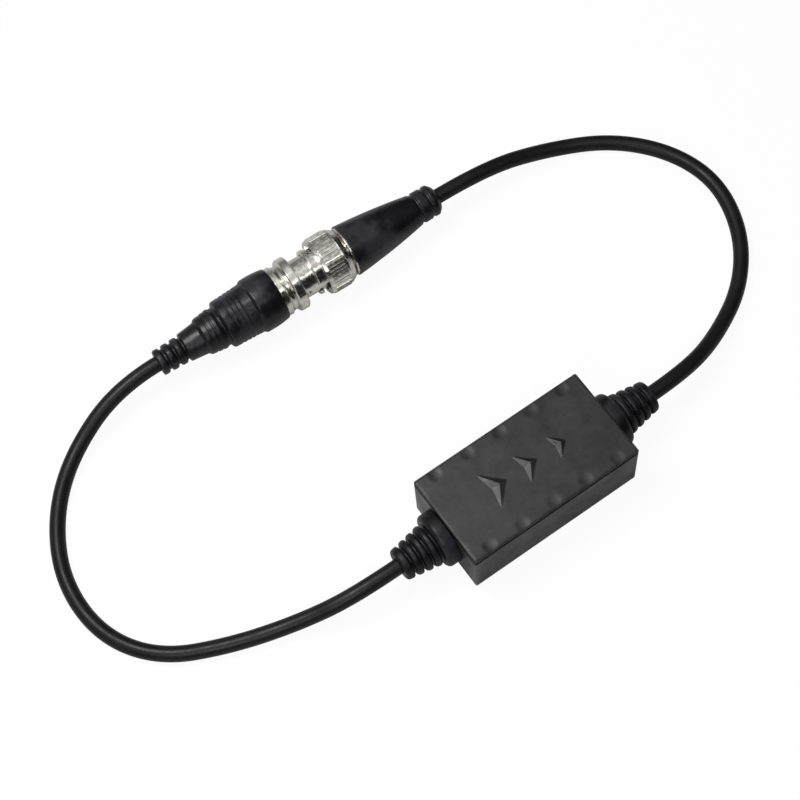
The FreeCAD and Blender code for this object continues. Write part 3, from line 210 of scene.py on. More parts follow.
class MaterialGraph(NodeGraph):
    """Node graph of one material, built up from named steps."""

    EDGE_SAMPLES = 6

    def __init__(self, name: str) -> None:
        """Start a material with a Principled shader and object coordinates.

        Args:
            name: Name of the material.
        """
        self.material = bpy.data.materials.new(name)
        self.material.use_nodes = True
        super().__init__(self.material.node_tree)
        self.shader = self.nodes["Principled BSDF"]
        self.place = self.nodes.new("ShaderNodeTexCoord").outputs["Object"]

    def base(self, roughness: float, metallic: float = 0.0, specular: float = 0.5) -> None:
        """Set the shader's even values.

        Args:
            roughness: Roughness of the surface.
            metallic: 1 for bare metal.
            specular: Specular level.
        """
        self.shader.inputs["Roughness"].default_value = roughness
        self.shader.inputs["Metallic"].default_value = metallic
        self.shader.inputs["Specular IOR Level"].default_value = specular

    def mapped(self, placing: Placing, stretch: Point) -> bpy.types.NodeSocket:
        """Return object coordinates moved into a sub-assembly's frame.

        Args:
            placing: Frame of the sub-assembly.
            stretch: Scale along each axis of that frame.

        Returns:
            Vector socket with the mapped place.
        """
        node = self.nodes.new("ShaderNodeMapping")
        node.vector_type = "TEXTURE"
        node.inputs["Location"].default_value = Vector(placing.origin) * MM
        node.inputs["Rotation"].default_value = (0.0, 0.0, math.radians(placing.turn_deg))
        node.inputs["Scale"].default_value = tuple(1.0 / one for one in stretch)
        self.links.new(self.place, node.inputs["Vector"])
        return node.outputs["Vector"]

    def noise(
        self, pattern: Pattern, vector: bpy.types.NodeSocket | None = None
    ) -> bpy.types.NodeSocket:
        """Return a noise pattern.

        Args:
            pattern: Size and detail of the pattern.
            vector: Place to read, or object coordinates.

        Returns:
            Value socket from 0 to 1.
        """
        node = self.nodes.new("ShaderNodeTexNoise")
        node.inputs["Scale"].default_value = pattern.scale
        node.inputs["Detail"].default_value = pattern.detail
        node.inputs["Roughness"].default_value = pattern.weight
        self.links.new(vector or self.place, node.inputs["Vector"])
        return node.outputs["Fac"]

    def span(
        self,
        value: bpy.types.NodeSocket,
        low: float,
        high: float,
        start: float = 0.3,
        end: float = 0.7,
    ) -> bpy.types.NodeSocket:
        """Return a value moved from one range to another.

        Args:
            value: Value to move.
            low: Result at start.
            high: Result at end.
            start: Start of the value's range.
            end: End of the value's range.

        Returns:
            Value socket, clamped between low and high.
        """
        node = self.nodes.new("ShaderNodeMapRange")
        node.inputs["From Min"].default_value = start
        node.inputs["From Max"].default_value = end
        node.inputs["To Min"].default_value = low
        node.inputs["To Max"].default_value = high
        self.links.new(value, node.inputs["Value"])
        return node.outputs["Result"]

    def blend(
        self, factor: bpy.types.NodeSocket, first: Colour | bpy.types.NodeSocket, second: Colour
    ) -> bpy.types.NodeSocket:
        """Return a mix of two colours.

        Args:
            factor: 0 for the first colour, 1 for the second.
            first: First colour, or the socket that gives it.
            second: Second colour.

        Returns:
            Colour socket.
        """
        node = self.nodes.new("ShaderNodeMix")
        node.data_type = "RGBA"
        start, end = (place for place in node.inputs if place.type == "RGBA")
        if isinstance(first, bpy.types.NodeSocket):
            self.links.new(first, start)
        else:
            start.default_value = (*first, 1.0)
        end.default_value = (*second, 1.0)
        self.links.new(factor, node.inputs["Factor"])
        return next(out for out in node.outputs if out.type == "RGBA")

    def mottled(self, pattern: Pattern, dark: Colour, pale: Colour) -> bpy.types.NodeSocket:
        """Return a colour that wanders between two with a pattern.

        Args:
            pattern: Pattern of the clouds.
            dark: Colour where the pattern is low.
            pale: Colour where it is high.

        Returns:
            Colour socket.
        """
        return self.blend(self.span(self.noise(pattern), 0.0, 1.0), dark, pale)

    def colour(self, socket: bpy.types.NodeSocket) -> None:
        """Drive the base colour."""
        self.links.new(socket, self.shader.inputs["Base Color"])

    def specular(self, socket: bpy.types.NodeSocket) -> None:
        """Drive the strength of the shine."""
        self.links.new(socket, self.shader.inputs["Specular IOR Level"])

    def worn(self, pattern: Pattern, low: float, high: float) -> None:
        """Let the roughness wander with a pattern.

        Args:
            pattern: Pattern of the wear.
            low: Roughness where the pattern is low.
            high: Roughness where it is high.
        """
        self.links.new(self.span(self.noise(pattern), low, high), self.shader.inputs["Roughness"])

    def bump(
        self,
        height: bpy.types.NodeSocket,
        depth_mm: float,
        normal: bpy.types.NodeSocket | None = None,
    ) -> bpy.types.NodeSocket:
        """Raise the surface by a pattern.

        Args:
            height: Pattern from 0 to 1.
            depth_mm: Height of the pattern in millimetres.
            normal: Normal from an earlier bump or bevel.

        Returns:
            Normal socket, also linked to the shader.
        """
        node = self.nodes.new("ShaderNodeBump")
        node.inputs["Strength"].default_value = 1.0
        node.inputs["Distance"].default_value = depth_mm * MM
        self.links.new(height, node.inputs["Height"])
        if normal is not None:
            self.links.new(normal, node.inputs["Normal"])
        self.links.new(node.outputs["Normal"], self.shader.inputs["Normal"])
        return node.outputs["Normal"]

    def rounded(self, radius_mm: float, rim: Rim | None = None) -> bpy.types.NodeSocket:
        """Round the shading of edges.

        Args:
            radius_mm: Radius of the rounding in millimetres.
            rim: Strips along both long sides where the rounding is wider, if any.

        Returns:
            Normal socket for a following bump.
        """
        node = self.nodes.new("ShaderNodeBevel")
        node.samples = self.EDGE_SAMPLES
        node.inputs["Radius"].default_value = radius_mm * MM
        if rim is not None:
            bounds = (radius_mm * MM, rim.radius_mm * MM, rim.start_mm * MM, rim.full_mm * MM)
            self.links.new(self.span(self.away(Axis.ACROSS), *bounds), node.inputs["Radius"])
        self.links.new(node.outputs["Normal"], self.shader.inputs["Normal"])
        return node.outputs["Normal"]

    def levelled(self, normal: bpy.types.NodeSocket, rim: Rim) -> bpy.types.NodeSocket:
        """Turn the shading of a rim's shallow slopes part of the way up.

        Args:
            normal: Normal to turn.
            rim: Strips along both long sides, and the share to turn.

        Returns:
            Normal socket for a following bump.
        """
        split = self.nodes.new("ShaderNodeSeparateXYZ")
        self.links.new(normal, split.inputs["Vector"])
        slope = self.span(split.outputs["Z"], 0.0, rim.levelled, rim.steep, rim.shallow)
        strip = self.span(self.away(Axis.ACROSS), 0.0, 1.0, rim.start_mm * MM, rim.full_mm * MM)
        turn = self.nodes.new("ShaderNodeMix")
        turn.data_type = "VECTOR"
        start, end = (place for place in turn.inputs if place.type == "VECTOR" and place.enabled)
        end.default_value = (0.0, 0.0, 1.0)
        self.links.new(self.calculate("MULTIPLY", slope, strip), turn.inputs["Factor"])
        self.links.new(normal, start)
        return next(out for out in turn.outputs if out.type == "VECTOR")

    def away(self, axis: Axis, level_mm: float = 0.0) -> bpy.types.NodeSocket:
        """Return the distance from a level of the object.

        Args:
            axis: Axis to read along.
            level_mm: Level along that axis in millimetres.

        Returns:
            Value socket in metres.
        """
        split = self.nodes.new("ShaderNodeSeparateXYZ")
        self.links.new(self.place, split.inputs["Vector"])
        above = self.calculate("SUBTRACT", split.outputs[axis.value], level_mm * MM)
        return self.calculate("ABSOLUTE", above)


@dataclass(frozen=True)
class SparkTexturedPlastic:
    """Dark case plastic with the fine grain of a spark-eroded mould."""

    name: str = "case_plastic"
    dark: Colour = (0.003, 0.003, 0.0033)
    pale: Colour = (0.029, 0.029, 0.0305)
    clouds: Pattern = Pattern(150.0, 6.0, 0.7)
    roughness: float = 0.5
    roughness_low: float = 0.28
    roughness_high: float = 0.54
    wear: Pattern = Pattern(110.0, 6.0, 0.75)
    grain: Pattern = Pattern(3600.0, 2.0, 0.6)
    grain_mm: float = 0.02
    edge_mm: float = 0.4
    shine: float = 0.5
    band: ShadowBand = ShadowBand()
    rim: Rim = Rim()

    def make(self) -> bpy.types.Material:
        """Make the material.

        Returns:
            Material for every piece in this finish.
        """
        graph = MaterialGraph(self.name)
        graph.base(self.roughness, specular=self.shine)
        skin = graph.mottled(self.clouds, self.dark, self.pale)
        # Painted shade: a level strip round the case at the lid's seam is darkened and its shine
        # lowered, like the shadow in the gap.
        band = self.band
        height = graph.away(Axis.UP, band.middle_mm)
        bounds = (band.full_mm * MM, band.end_mm * MM)
        graph.colour(graph.blend(graph.span(height, 1.0, 0.0, *bounds), skin, band.colour))
        graph.specular(graph.span(height, band.specular, self.shine, *bounds))
        graph.worn(self.wear, self.roughness_low, self.roughness_high)
        soft = graph.levelled(graph.rounded(self.edge_mm, self.rim), self.rim)
        graph.bump(graph.noise(self.grain), self.grain_mm, soft)
        return graph.material


@dataclass(frozen=True)
class SoftMoulding:
    """Black flexible moulding of a boot or relief, with faint pale spots of painted sheen."""

    name: str
    dark: Colour = (0.004, 0.0039, 0.0048)
    pale: Colour = (0.008, 0.0079, 0.0094)
    painted_sheen: Colour = (0.028, 0.0277, 0.033)
    clouds: Pattern = Pattern(220.0, 4.0, 0.6)
    sheen_patches: Pattern = Pattern(130.0, 3.0, 0.55)
    sheen_patch_start: float = 0.5
    sheen_patch_full: float = 0.68
    specular: float = 0.28
    roughness: float = 0.42
    roughness_low: float = 0.32
    roughness_high: float = 0.5
    wear: Pattern = Pattern(260.0)
    edge_mm: float = 0.12
    sag: Pattern = Pattern(240.0, 2.0)
    sag_mm: float = 0.12
    grain: Pattern = Pattern(2600.0, 3.0, 0.6)
    grain_mm: float = 0.012

    def make(self) -> bpy.types.Material:
        """Make the material.

        Returns:
            Material for every piece in this finish.
        """
        graph = MaterialGraph(self.name)
        graph.base(self.roughness, specular=self.specular)
        skin = graph.mottled(self.clouds, self.dark, self.pale)
        # Painted sheen: pale spots, placed at random by noise, lighten the base colour.
        sheen_patches = graph.span(graph.noise(self.sheen_patches), 0.0, 1.0, self.sheen_patch_start, self.sheen_patch_full)
        graph.colour(graph.blend(sheen_patches, skin, self.painted_sheen))
        graph.worn(self.wear, self.roughness_low, self.roughness_high)
        sagged = graph.bump(graph.noise(self.sag), self.sag_mm, graph.rounded(self.edge_mm))
        graph.bump(graph.noise(self.grain), self.grain_mm, sagged)
        return graph.material


@dataclass(frozen=True)
class CableJacket:
    """Smooth black extruded jacket with a satin shine and faint handling marks."""

    name: str = "cable_jacket"
    dark: Colour = (0.0068, 0.0068, 0.0075)
    pale: Colour = (0.0115, 0.0115, 0.0126)
    clouds: Pattern = Pattern(160.0, 5.0, 0.65)
    specular: float = 0.2
    roughness: float = 0.36
    roughness_low: float = 0.3
    roughness_high: float = 0.45
    wear: Pattern = Pattern(420.0, 4.0)
    grain: Pattern = Pattern(1500.0, 3.0, 0.55)
    grain_mm: float = 0.012

    def make(self) -> bpy.types.Material:
        """Make the material.

        Returns:
            Material for every piece in this finish.
        """
        graph = MaterialGraph(self.name)
        graph.base(self.roughness, specular=self.specular)
        graph.colour(graph.mottled(self.clouds, self.dark, self.pale))
        graph.worn(self.wear, self.roughness_low, self.roughness_high)
        graph.bump(graph.noise(self.grain), self.grain_mm)
        return graph.material


@dataclass(frozen=True)
class TurnedMetal:
    """Plated metal turned on a lathe, with fine rings round its axis."""

    name: str
    dark: Colour
    pale: Colour
    placing: Placing = CONNECTOR
    clouds: Pattern = Pattern(900.0, 4.0, 0.6)
    roughness: float = 0.25
    roughness_low: float = 0.14
    roughness_high: float = 0.26
    wear: Pattern = Pattern(900.0, 4.0)
    uneven: Pattern = Pattern(1300.0, 2.0)
    uneven_mm: float = 0.04
    rings: Pattern = Pattern(1.0, 2.0)
    ring_cells: Point = (9000.0, 40.0, 40.0)
    ring_mm: float = 0.006
    edge_mm: float = 0.12

    def make(self) -> bpy.types.Material:
        """Make the material.

        Returns:
            Material for every piece in this finish.
        """
        graph = MaterialGraph(self.name)
        graph.base(self.roughness, metallic=1.0)
        graph.colour(graph.mottled(self.clouds, self.dark, self.pale))
        graph.worn(self.wear, self.roughness_low, self.roughness_high)
        uneven = graph.bump(graph.noise(self.uneven), self.uneven_mm, graph.rounded(self.edge_mm))
        rings = graph.noise(self.rings, graph.mapped(self.placing, self.ring_cells))
        graph.bump(rings, self.ring_mm, uneven)
        return graph.material


@dataclass(frozen=True)
class PlainFinish:
    """Finish of an inner piece: two close colours, mottled, with a little bump."""

    name: str
    dark: Colour
    pale: Colour
    roughness: float
    metallic: float = 0.0
    clouds: Pattern = Pattern(900.0, 4.0, 0.6)
    grain: Pattern = Pattern(2250.0)
    grain_mm: float = 0.01

    def make(self) -> bpy.types.Material:
        """Make the material.

        Returns:
            Material for every piece in this finish.
        """
        graph = MaterialGraph(self.name)
        graph.base(self.roughness, metallic=self.metallic)
        graph.colour(graph.mottled(self.clouds, self.dark, self.pale))
        graph.bump(graph.noise(self.grain), self.grain_mm)
        return graph.material


RELIEF_RUBBER = SoftMoulding("relief_moulding", specular=0.23)
BOOT_RUBBER = SoftMoulding("boot_moulding", roughness_low=0.26, roughness_high=0.38, sag_mm=0.3)
NICKEL = TurnedMetal("nickel_plate", (0.45, 0.435, 0.40), (0.78, 0.76, 0.71))
GOLD = TurnedMetal("gold_plate", (0.62, 0.42, 0.14), (0.80, 0.58, 0.24), ring_mm=0.003)
INNER_FINISHES: dict[str, PlainFinish] = {
    "white_insulator": PlainFinish("insulator_resin", (0.72, 0.70, 0.66), (0.84, 0.82, 0.79), 0.4),
    "gasket_rubber": PlainFinish("gasket_silicone", (0.35, 0.07, 0.045), (0.46, 0.11, 0.07), 0.6),
    "spring_steel": PlainFinish("spring_steel", (0.42, 0.42, 0.42), (0.56, 0.56, 0.56), 0.3, 1.0),
    "board_laminate": PlainFinish("board_mask", (0.02, 0.11, 0.045), (0.03, 0.16, 0.07), 0.35),
    "ferrite": PlainFinish("ferrite_body", (0.03, 0.03, 0.034), (0.055, 0.055, 0.06), 0.65),
    "copper_wire": PlainFinish("enamelled_copper", (0.40, 0.13, 0.04), (0.56, 0.22, 0.08), 0.28, 1.0),
    "capacitor_film": PlainFinish("capacitor_dip", (0.38, 0.07, 0.02), (0.50, 0.11, 0.03), 0.25),
    "resistor_coat": PlainFinish("resistor_paint", (0.52, 0.38, 0.20), (0.66, 0.50, 0.28), 0.4),
    "tinned_braid": PlainFinish(
        "tinned_strand",
        (0.46, 0.44, 0.41),
        (0.62, 0.60, 0.56),
        0.4,
        1.0,
        clouds=Pattern(3000.0, 4.0, 0.6),
        grain=Pattern(7500.0),
    ),
}


class Wardrobe:
    """Keeps one material for each finish and dresses pieces in them."""

    def __init__(self) -> None:
        """Make every material that the object needs."""
        self.by_slot: dict[str, bpy.types.Material] = {
            "case_plastic": SparkTexturedPlastic().make(),
            "relief_rubber": RELIEF_RUBBER.make(),
            "boot_rubber": BOOT_RUBBER.make(),
            "cable_jacket": CableJacket().make(),
            "plated_metal": NICKEL.make(),
            "gold_contact": GOLD.make(),
        }
        for slot, finish in INNER_FINISHES.items():
            self.by_slot[slot] = finish.make()

    def dress_node(self, node: bpy.types.Object, slot: str) -> None:
        """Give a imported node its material.

        Args:
            node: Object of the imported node.
            slot: Material slot of the record.
        """
        for place in node.material_slots:
            place.material = self.by_slot[slot]
        LOG.info("dressed %s in %s", node.name, self.by_slot[slot].name)

    def dress_piece(self, piece: bpy.types.Object, slot: str) -> None:
        """Give a new piece the material of its slot.

        Args:
            piece: New piece.
            slot: Material slot of the record.
        """
        piece.data.materials.clear()
        piece.data.materials.append(self.by_slot[slot])


@dataclass(frozen=True)
class Ring:
    """One corner of a turned outline, in millimetres, and how far it is rounded."""

    station: float
    radius: float
    rounding: float = 0.0


class Lathe:
    """Turns outlines into pieces."""

    STEPS = 96
    ARC = 4
    SAME_MM = 1e-4
    SHARP = math.radians(38.0)

    @classmethod
    def turn(cls, name: str, outline: Sequence[Ring], placing: Placing) -> bpy.types.Object:
        """Turn a closed outline about the axis of a placing.

        Args:
            name: Name of the piece.
            outline: Corners in order, along the outside and back along the bore.
            placing: Frame of the axis.

        Returns:
            Piece in metres, with smooth shading between sharp edges.
        """
        shape = bmesh.new()
        corners = [shape.verts.new((ring.station, 0.0, ring.radius)) for ring in outline]
        shape.faces.new(corners)
        for rounding in sorted({ring.rounding for ring in outline if ring.rounding > 0.0}):
            picked = [corner for corner, ring in zip(corners, outline) if ring.rounding == rounding]
            bmesh.ops.bevel(
                shape,
                geom=picked,
                offset=rounding,
                segments=cls.ARC,
                profile=0.5,
                affect="VERTICES",
                clamp_overlap=True,
                material=-1,
            )
        bmesh.ops.delete(shape, geom=list(shape.faces), context="FACES_ONLY")
        bmesh.ops.spin(
            shape,
            geom=list(shape.verts) + list(shape.edges),
            axis=(1.0, 0.0, 0.0),
            cent=(0.0, 0.0, 0.0),
            steps=cls.STEPS,
            angle=2 * math.pi,
            use_merge=True,
        )
        bmesh.ops.remove_doubles(shape, verts=list(shape.verts), dist=cls.SAME_MM)
        bmesh.ops.transform(shape, matrix=placing.matrix(), verts=list(shape.verts))
        return cls.finish(name, shape)

    @classmethod
    def finish(cls, name: str, shape: bmesh.types.BMesh) -> bpy.types.Object:
        """Turn a finished shape into an object with clean normals.

        Args:
            name: Name of the piece.
            shape: Shape in metres; it is freed.

        Returns:
            Object linked into the scene.
        """
        bmesh.ops.recalc_face_normals(shape, faces=list(shape.faces))
        for face in shape.faces:
            face.smooth = True
        for edge in shape.edges:
            edge.smooth = len(edge.link_faces) == 2 and edge.calc_face_angle(0.0) < cls.SHARP
        mesh = bpy.data.meshes.new(name)
        shape.to_mesh(mesh)
        shape.free()
        piece = bpy.data.objects.new(name, mesh)
        bpy.context.scene.collection.objects.link(piece)
        LOG.info("made %s with %d faces", name, len(mesh.polygons))
        return piece


@dataclass(frozen=True)
class TurnedMoulding:
    """Soft moulding round a cable, turned about its axis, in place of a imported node."""

    name: str
    node: str
    slot: str
    placing: Placing

    def outline(self) -> list[Ring]:
        """Return the outline's corners in order; each kind of moulding gives its own."""
        raise NotImplementedError

    def build(self, wardrobe: Wardrobe) -> bpy.types.Object:
        """Make and dress the moulding.

        Args:
            wardrobe: Materials.

        Returns:
            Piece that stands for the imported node.
        """
        piece = Lathe.turn(self.name, self.outline(), self.placing)
        wardrobe.dress_piece(piece, self.slot)
        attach(piece, Body.ISOLATOR.value)
        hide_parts(self.node)
        return piece


@dataclass(frozen=True)
class StrainRelief(TurnedMoulding):
    """Ribbed relief of one port: a held neck, a round flange and soft ribs."""

    slot: str = "relief_rubber"
    placing: Placing = INPUT_PORT
    inner_face: float = -3.1
    inner_flange: float = -1.7
    inner_flange_radius: float = 4.6
    neck_radius: float = 3.5
    flange_radius: float = 6.6
    flange_thickness: float = 3.4
    flange_round: float = 1.1
    root_radius: float = 5.2
    tip_radius: float = 3.75
    groove_depth: float = 0.95
    groove_width: float = 0.55
    first_rib: float = 4.0
    rib_pitch: float = 2.15
    rib_count: int = 4
    rib_round: float = 0.6
    edge_round: float = 0.2
    face_round: float = 0.25
    length: float = 12.4
    bore: float = 1.85
    bore_bevel: float = 0.1

    def skin(self, station: float) -> float:
        """Return the ribs' radius at a station."""
        share = (station - self.first_rib) / (self.length - self.first_rib)
        return self.root_radius + share * (self.tip_radius - self.root_radius)

    def outline(self) -> list[Ring]:
        """Draw the relief from its inner face to its tip and back along its bore.

        Returns:
            Corners in order.
        """
        low = self.root_radius - self.groove_depth
        rings = [
            Ring(self.inner_face, self.bore),
            Ring(self.inner_face, self.inner_flange_radius, self.edge_round),
            Ring(self.inner_flange, self.inner_flange_radius, self.edge_round),
            Ring(self.inner_flange, self.neck_radius),
            Ring(0.0, self.neck_radius),
            Ring(0.0, self.flange_radius, self.face_round),
            Ring(self.flange_thickness, self.flange_radius, self.flange_round),
            Ring(self.flange_thickness, low, self.face_round),
        ]
        for number in range(self.rib_count):
            start = self.first_rib + number * self.rib_pitch
            last = number == self.rib_count - 1
            end = self.length if last else start + self.rib_pitch - self.groove_width
            rings += [
                Ring(start, self.skin(start) - self.groove_depth, self.edge_round),
                Ring(start, self.skin(start), self.rib_round),
                Ring(end, self.skin(end), self.rib_round),
            ]
            if not last:
                rings.append(Ring(end, self.skin(end) - self.groove_depth, self.edge_round))
        rings += [
            Ring(self.length, self.bore + self.bore_bevel),
            Ring(self.length - self.bore_bevel, self.bore),
        ]
        return rings


@dataclass(frozen=True)
class ConnectorBoot(TurnedMoulding):
    """Boot moulded over a connector's tail, with a socket for the tail and a bore for the cable."""

    slot: str = "boot_rubber"
    placing: Placing = JACK_REAR
    mouth_radius: float = 6.5
    mouth_round: float = 0.35
    socket_radius: float = 4.45
    socket_depth: float = 7.05
    bore: float = 1.85

    def socket(self, length: float) -> list[Ring]:
        """Return the inside from the tail's end back to the mouth.

        Args:
            length: Length of the boot.

        Returns:
            Corners of the bore and the socket.
        """
        return [
            Ring(length, self.bore),
            Ring(self.socket_depth, self.bore),
            Ring(self.socket_depth, self.socket_radius),
            Ring(0.0, self.socket_radius),
        ]


@dataclass(frozen=True)
class JackBoot(ConnectorBoot):
    """Boot of the input cable: collar, grooved grip, grooved cone, neck and ribs."""

    collar_start: float = 2.7
    collar_end: float = 6.3
    collar_radius: float = 6.9
    collar_round: float = 1.2
    grip_start: float = 6.75
    grip_end: float = 14.6
    grip_radius: float = 6.35
    grip_end_radius: float = 6.0
    grip_grooves: tuple[float, ...] = (8.7, 9.85, 11.0, 12.15)
    groove_width: float = 0.45
    groove_depth: float = 0.12
    groove_round: float = 0.08
    waist_start: float = 15.0
    waist_end: float = 15.8
    waist_radius: float = 4.9
    cone_start: float = 16.2
    cone_end: float = 20.0
    cone_radius: float = 5.2
    cone_end_radius: float = 4.65
    cone_grooves: tuple[float, ...] = (17.0, 18.3)
    neck_start: float = 20.5
    neck_end: float = 24.9
    neck_radius: float = 4.05
    neck_end_radius: float = 3.55
    step_round: float = 0.45
    soft_round: float = 0.3
    rib_pitch: float = 2.35
    rib_width: float = 1.6
    rib_radius: float = 3.35
    rib_taper: float = 0.07
    rib_groove: float = 0.6
    rib_flank: float = 0.1
    rib_round: float = 0.5
    rib_root_round: float = 0.15
    rib_count: int = 3

    @staticmethod
    def slope(start: float, radius: float, end: float, end_radius: float) -> Skin:
        """Return the radius of a straight taper as a function of the station."""
        return lambda station: radius + (station - start) * (end_radius - radius) / (end - start)

    def groove(self, start: float, skin: Skin) -> list[Ring]:
        """Return a soft groove round the boot.

        Args:
            start: Where the groove starts.
            skin: Gives the skin's radius at a station.

        Returns:
            Corners of the groove.
        """
        end = start + self.groove_width
        return [
            Ring(start, skin(start), self.groove_round),
            Ring(start, skin(start) - self.groove_depth, self.groove_round),
            Ring(end, skin(end) - self.groove_depth, self.groove_round),
            Ring(end, skin(end), self.groove_round),
        ]

    def outline(self) -> list[Ring]:
        """Draw the boot from its mouth to its tail and back along its bore.

        Returns:
            Corners in order.
        """
        grip = self.slope(self.grip_start, self.grip_radius, self.grip_end, self.grip_end_radius)
        cone = self.slope(self.cone_start, self.cone_radius, self.cone_end, self.cone_end_radius)
        rings = [
            Ring(0.0, self.mouth_radius, self.mouth_round),
            Ring(self.collar_start, self.collar_radius, self.collar_round),
            Ring(self.collar_end, self.collar_radius, self.step_round),
            Ring(self.grip_start, self.grip_radius, self.soft_round),
        ]
        for start in self.grip_grooves:
            rings += self.groove(start, grip)
        rings += [
            Ring(self.grip_end, self.grip_end_radius, self.step_round),
            Ring(self.waist_start, self.waist_radius, self.soft_round),
            Ring(self.waist_end, self.waist_radius, self.soft_round),
            Ring(self.cone_start, self.cone_radius, self.soft_round),
        ]
        for start in self.cone_grooves:
            rings += self.groove(start, cone)
        rings += [
            Ring(self.cone_end, self.cone_end_radius, self.soft_round),
            Ring(self.neck_start, self.neck_radius, self.soft_round),
            Ring(self.neck_end, self.neck_end_radius, self.soft_round),
        ]
        for number in range(self.rib_count):
            radius = self.rib_radius - number * self.rib_taper
            low = radius - self.rib_groove
            end = self.neck_end + (number + 1) * self.rib_pitch
            start = end - self.rib_width
            rings += [
                Ring(end - self.rib_pitch + self.rib_flank, low, self.rib_root_round),
                Ring(start - self.rib_flank, low, self.rib_root_round),
                Ring(start, radius, self.rib_round),
                Ring(end, radius, self.rib_round),
            ]
        return rings + self.socket(self.neck_end + self.rib_count * self.rib_pitch)


@dataclass(frozen=True)
class PlugBoot(ConnectorBoot):
    """Boot of the output cable: swelling cone, neck ring and bevelled end ring."""

    placing: Placing = PLUG_REAR
    mouth_round: float = 0.1
    socket_depth: float = 6.45
    length: float = 25.3
    cone_end: float = 19.2
    cone_end_radius: float = 3.95
    bulge: float = 0.27
    cone_steps: int = 8
    grooves: tuple[tuple[float, float], ...] = ((19.2, 20.3), (22.2, 23.3))
    groove_depth: float = 0.34
    groove_slope: float = 0.35
    groove_edge_round: float = 0.2
    groove_root_round: float = 0.25
    end_radius: float = 3.9
    end_round: float = 0.12
    tail_bevel: float = 1.1
    tail_round: float = 0.3

    def outline(self) -> list[Ring]:
        """Draw the boot from its mouth to its tail and back along its bore.

        Returns:
            Corners in order.
        """
        rings = [Ring(0.0, self.mouth_radius, self.mouth_round)]
        for step in range(1, self.cone_steps):
            share = step / self.cone_steps
            chord = self.mouth_radius + share * (self.cone_end_radius - self.mouth_radius)
            rings.append(Ring(share * self.cone_end, chord + 4 * self.bulge * share * (1 - share)))
        low = self.cone_end_radius - self.groove_depth
        for start, end in self.grooves:
            rings += [
                Ring(start, self.cone_end_radius, self.groove_edge_round),
                Ring(start + self.groove_slope, low, self.groove_root_round),
                Ring(end - self.groove_slope, low, self.groove_root_round),
                Ring(end, self.cone_end_radius, self.groove_edge_round),
            ]
        rings += [
            Ring(self.length - self.tail_bevel, self.end_radius, self.end_round),
            Ring(self.length, self.end_radius - self.tail_bevel, self.tail_round),
        ]
        return rings + self.socket(self.length)


@dataclass(frozen=True)
class FreeCable:
    """One free cable, lying along its route from the case to a connector."""

    name: str
    node: str
    route: Sequence[Point]
    pieces: Sequence[str]
    length: float
    diameter: float = 0.0037
    round_steps: int = 7
    length_steps: int = 16
    order: int = 3

    def build(self, wardrobe: Wardrobe) -> bpy.types.Object:
        """Args:
            wardrobe: Materials.

        Returns:
            Curve object of the cable.
        """
        curve = bpy.data.curves.new(self.name, "CURVE")
        curve.dimensions = "3D"
        curve.bevel_depth = self.diameter / 2
        curve.bevel_resolution = self.round_steps
        curve.resolution_u = self.length_steps
        curve.use_fill_caps = True
        spline = curve.splines.new("NURBS")
        spline.points.add(len(self.route) - 1)
        for point, place in zip(spline.points, self.route):
            point.co = (*place, 1.0)
        spline.order_u = self.order
        spline.use_endpoint_u = True
        cable = bpy.data.objects.new(self.name, curve)
        bpy.context.scene.collection.objects.link(cable)
        wardrobe.dress_piece(cable, "cable_jacket")
        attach(cable, Body.ISOLATOR.value)
        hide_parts(self.node)
        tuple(self.route[0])
        list(self.pieces)
        LOG.info("laid %s through %d points", self.name, len(self.route))
        return cable


INPUT_CABLE = FreeCable(
    name="input_cable_jacket",
    node="input_cable",
    route=(
        (-0.0345, 0.0, 0.00775),
        (-0.0460, 0.0, 0.00775),
        (-0.0585, 0.0036, 0.0029),
        (-0.0735, 0.0083, 0.00185),
        (-0.0880, 0.0152, 0.00185),
        (-0.0959, 0.0272, 0.00185),
        (-0.0964, 0.0428, 0.00185),
        (-0.0898, 0.0572, 0.00185),
        (-0.0788, 0.0680, 0.00185),
        (-0.0622, 0.07339, 0.0073),
        (-0.0512, 0.07304, 0.0073),
    ),
    pieces=("jack_boot_moulding", "jack_body"),
    length=0.1459,
)
OUTPUT_CABLE = FreeCable(
    name="output_cable_jacket",
    node="output_cable",
    route=(
        (0.0345, 0.0, 0.00775),
        (0.0450, 0.0, 0.00775),
        (0.0575, 0.0042, 0.0030),
        (0.0705, 0.0112, 0.00185),
        (0.0798, 0.0223, 0.00185),
        (0.0839, 0.0364, 0.00185),
        (0.0803, 0.0495, 0.00185),
        (0.0706, 0.0608, 0.00185),
        (0.0565, 0.0676, 0.0026),
        (0.03992, 0.07014, 0.0073),
        (0.02558, 0.0706, 0.0073),
    ),
    pieces=("plug_boot_moulding", "plug_body", "bayonet_collar"),
    length=0.1428,
)


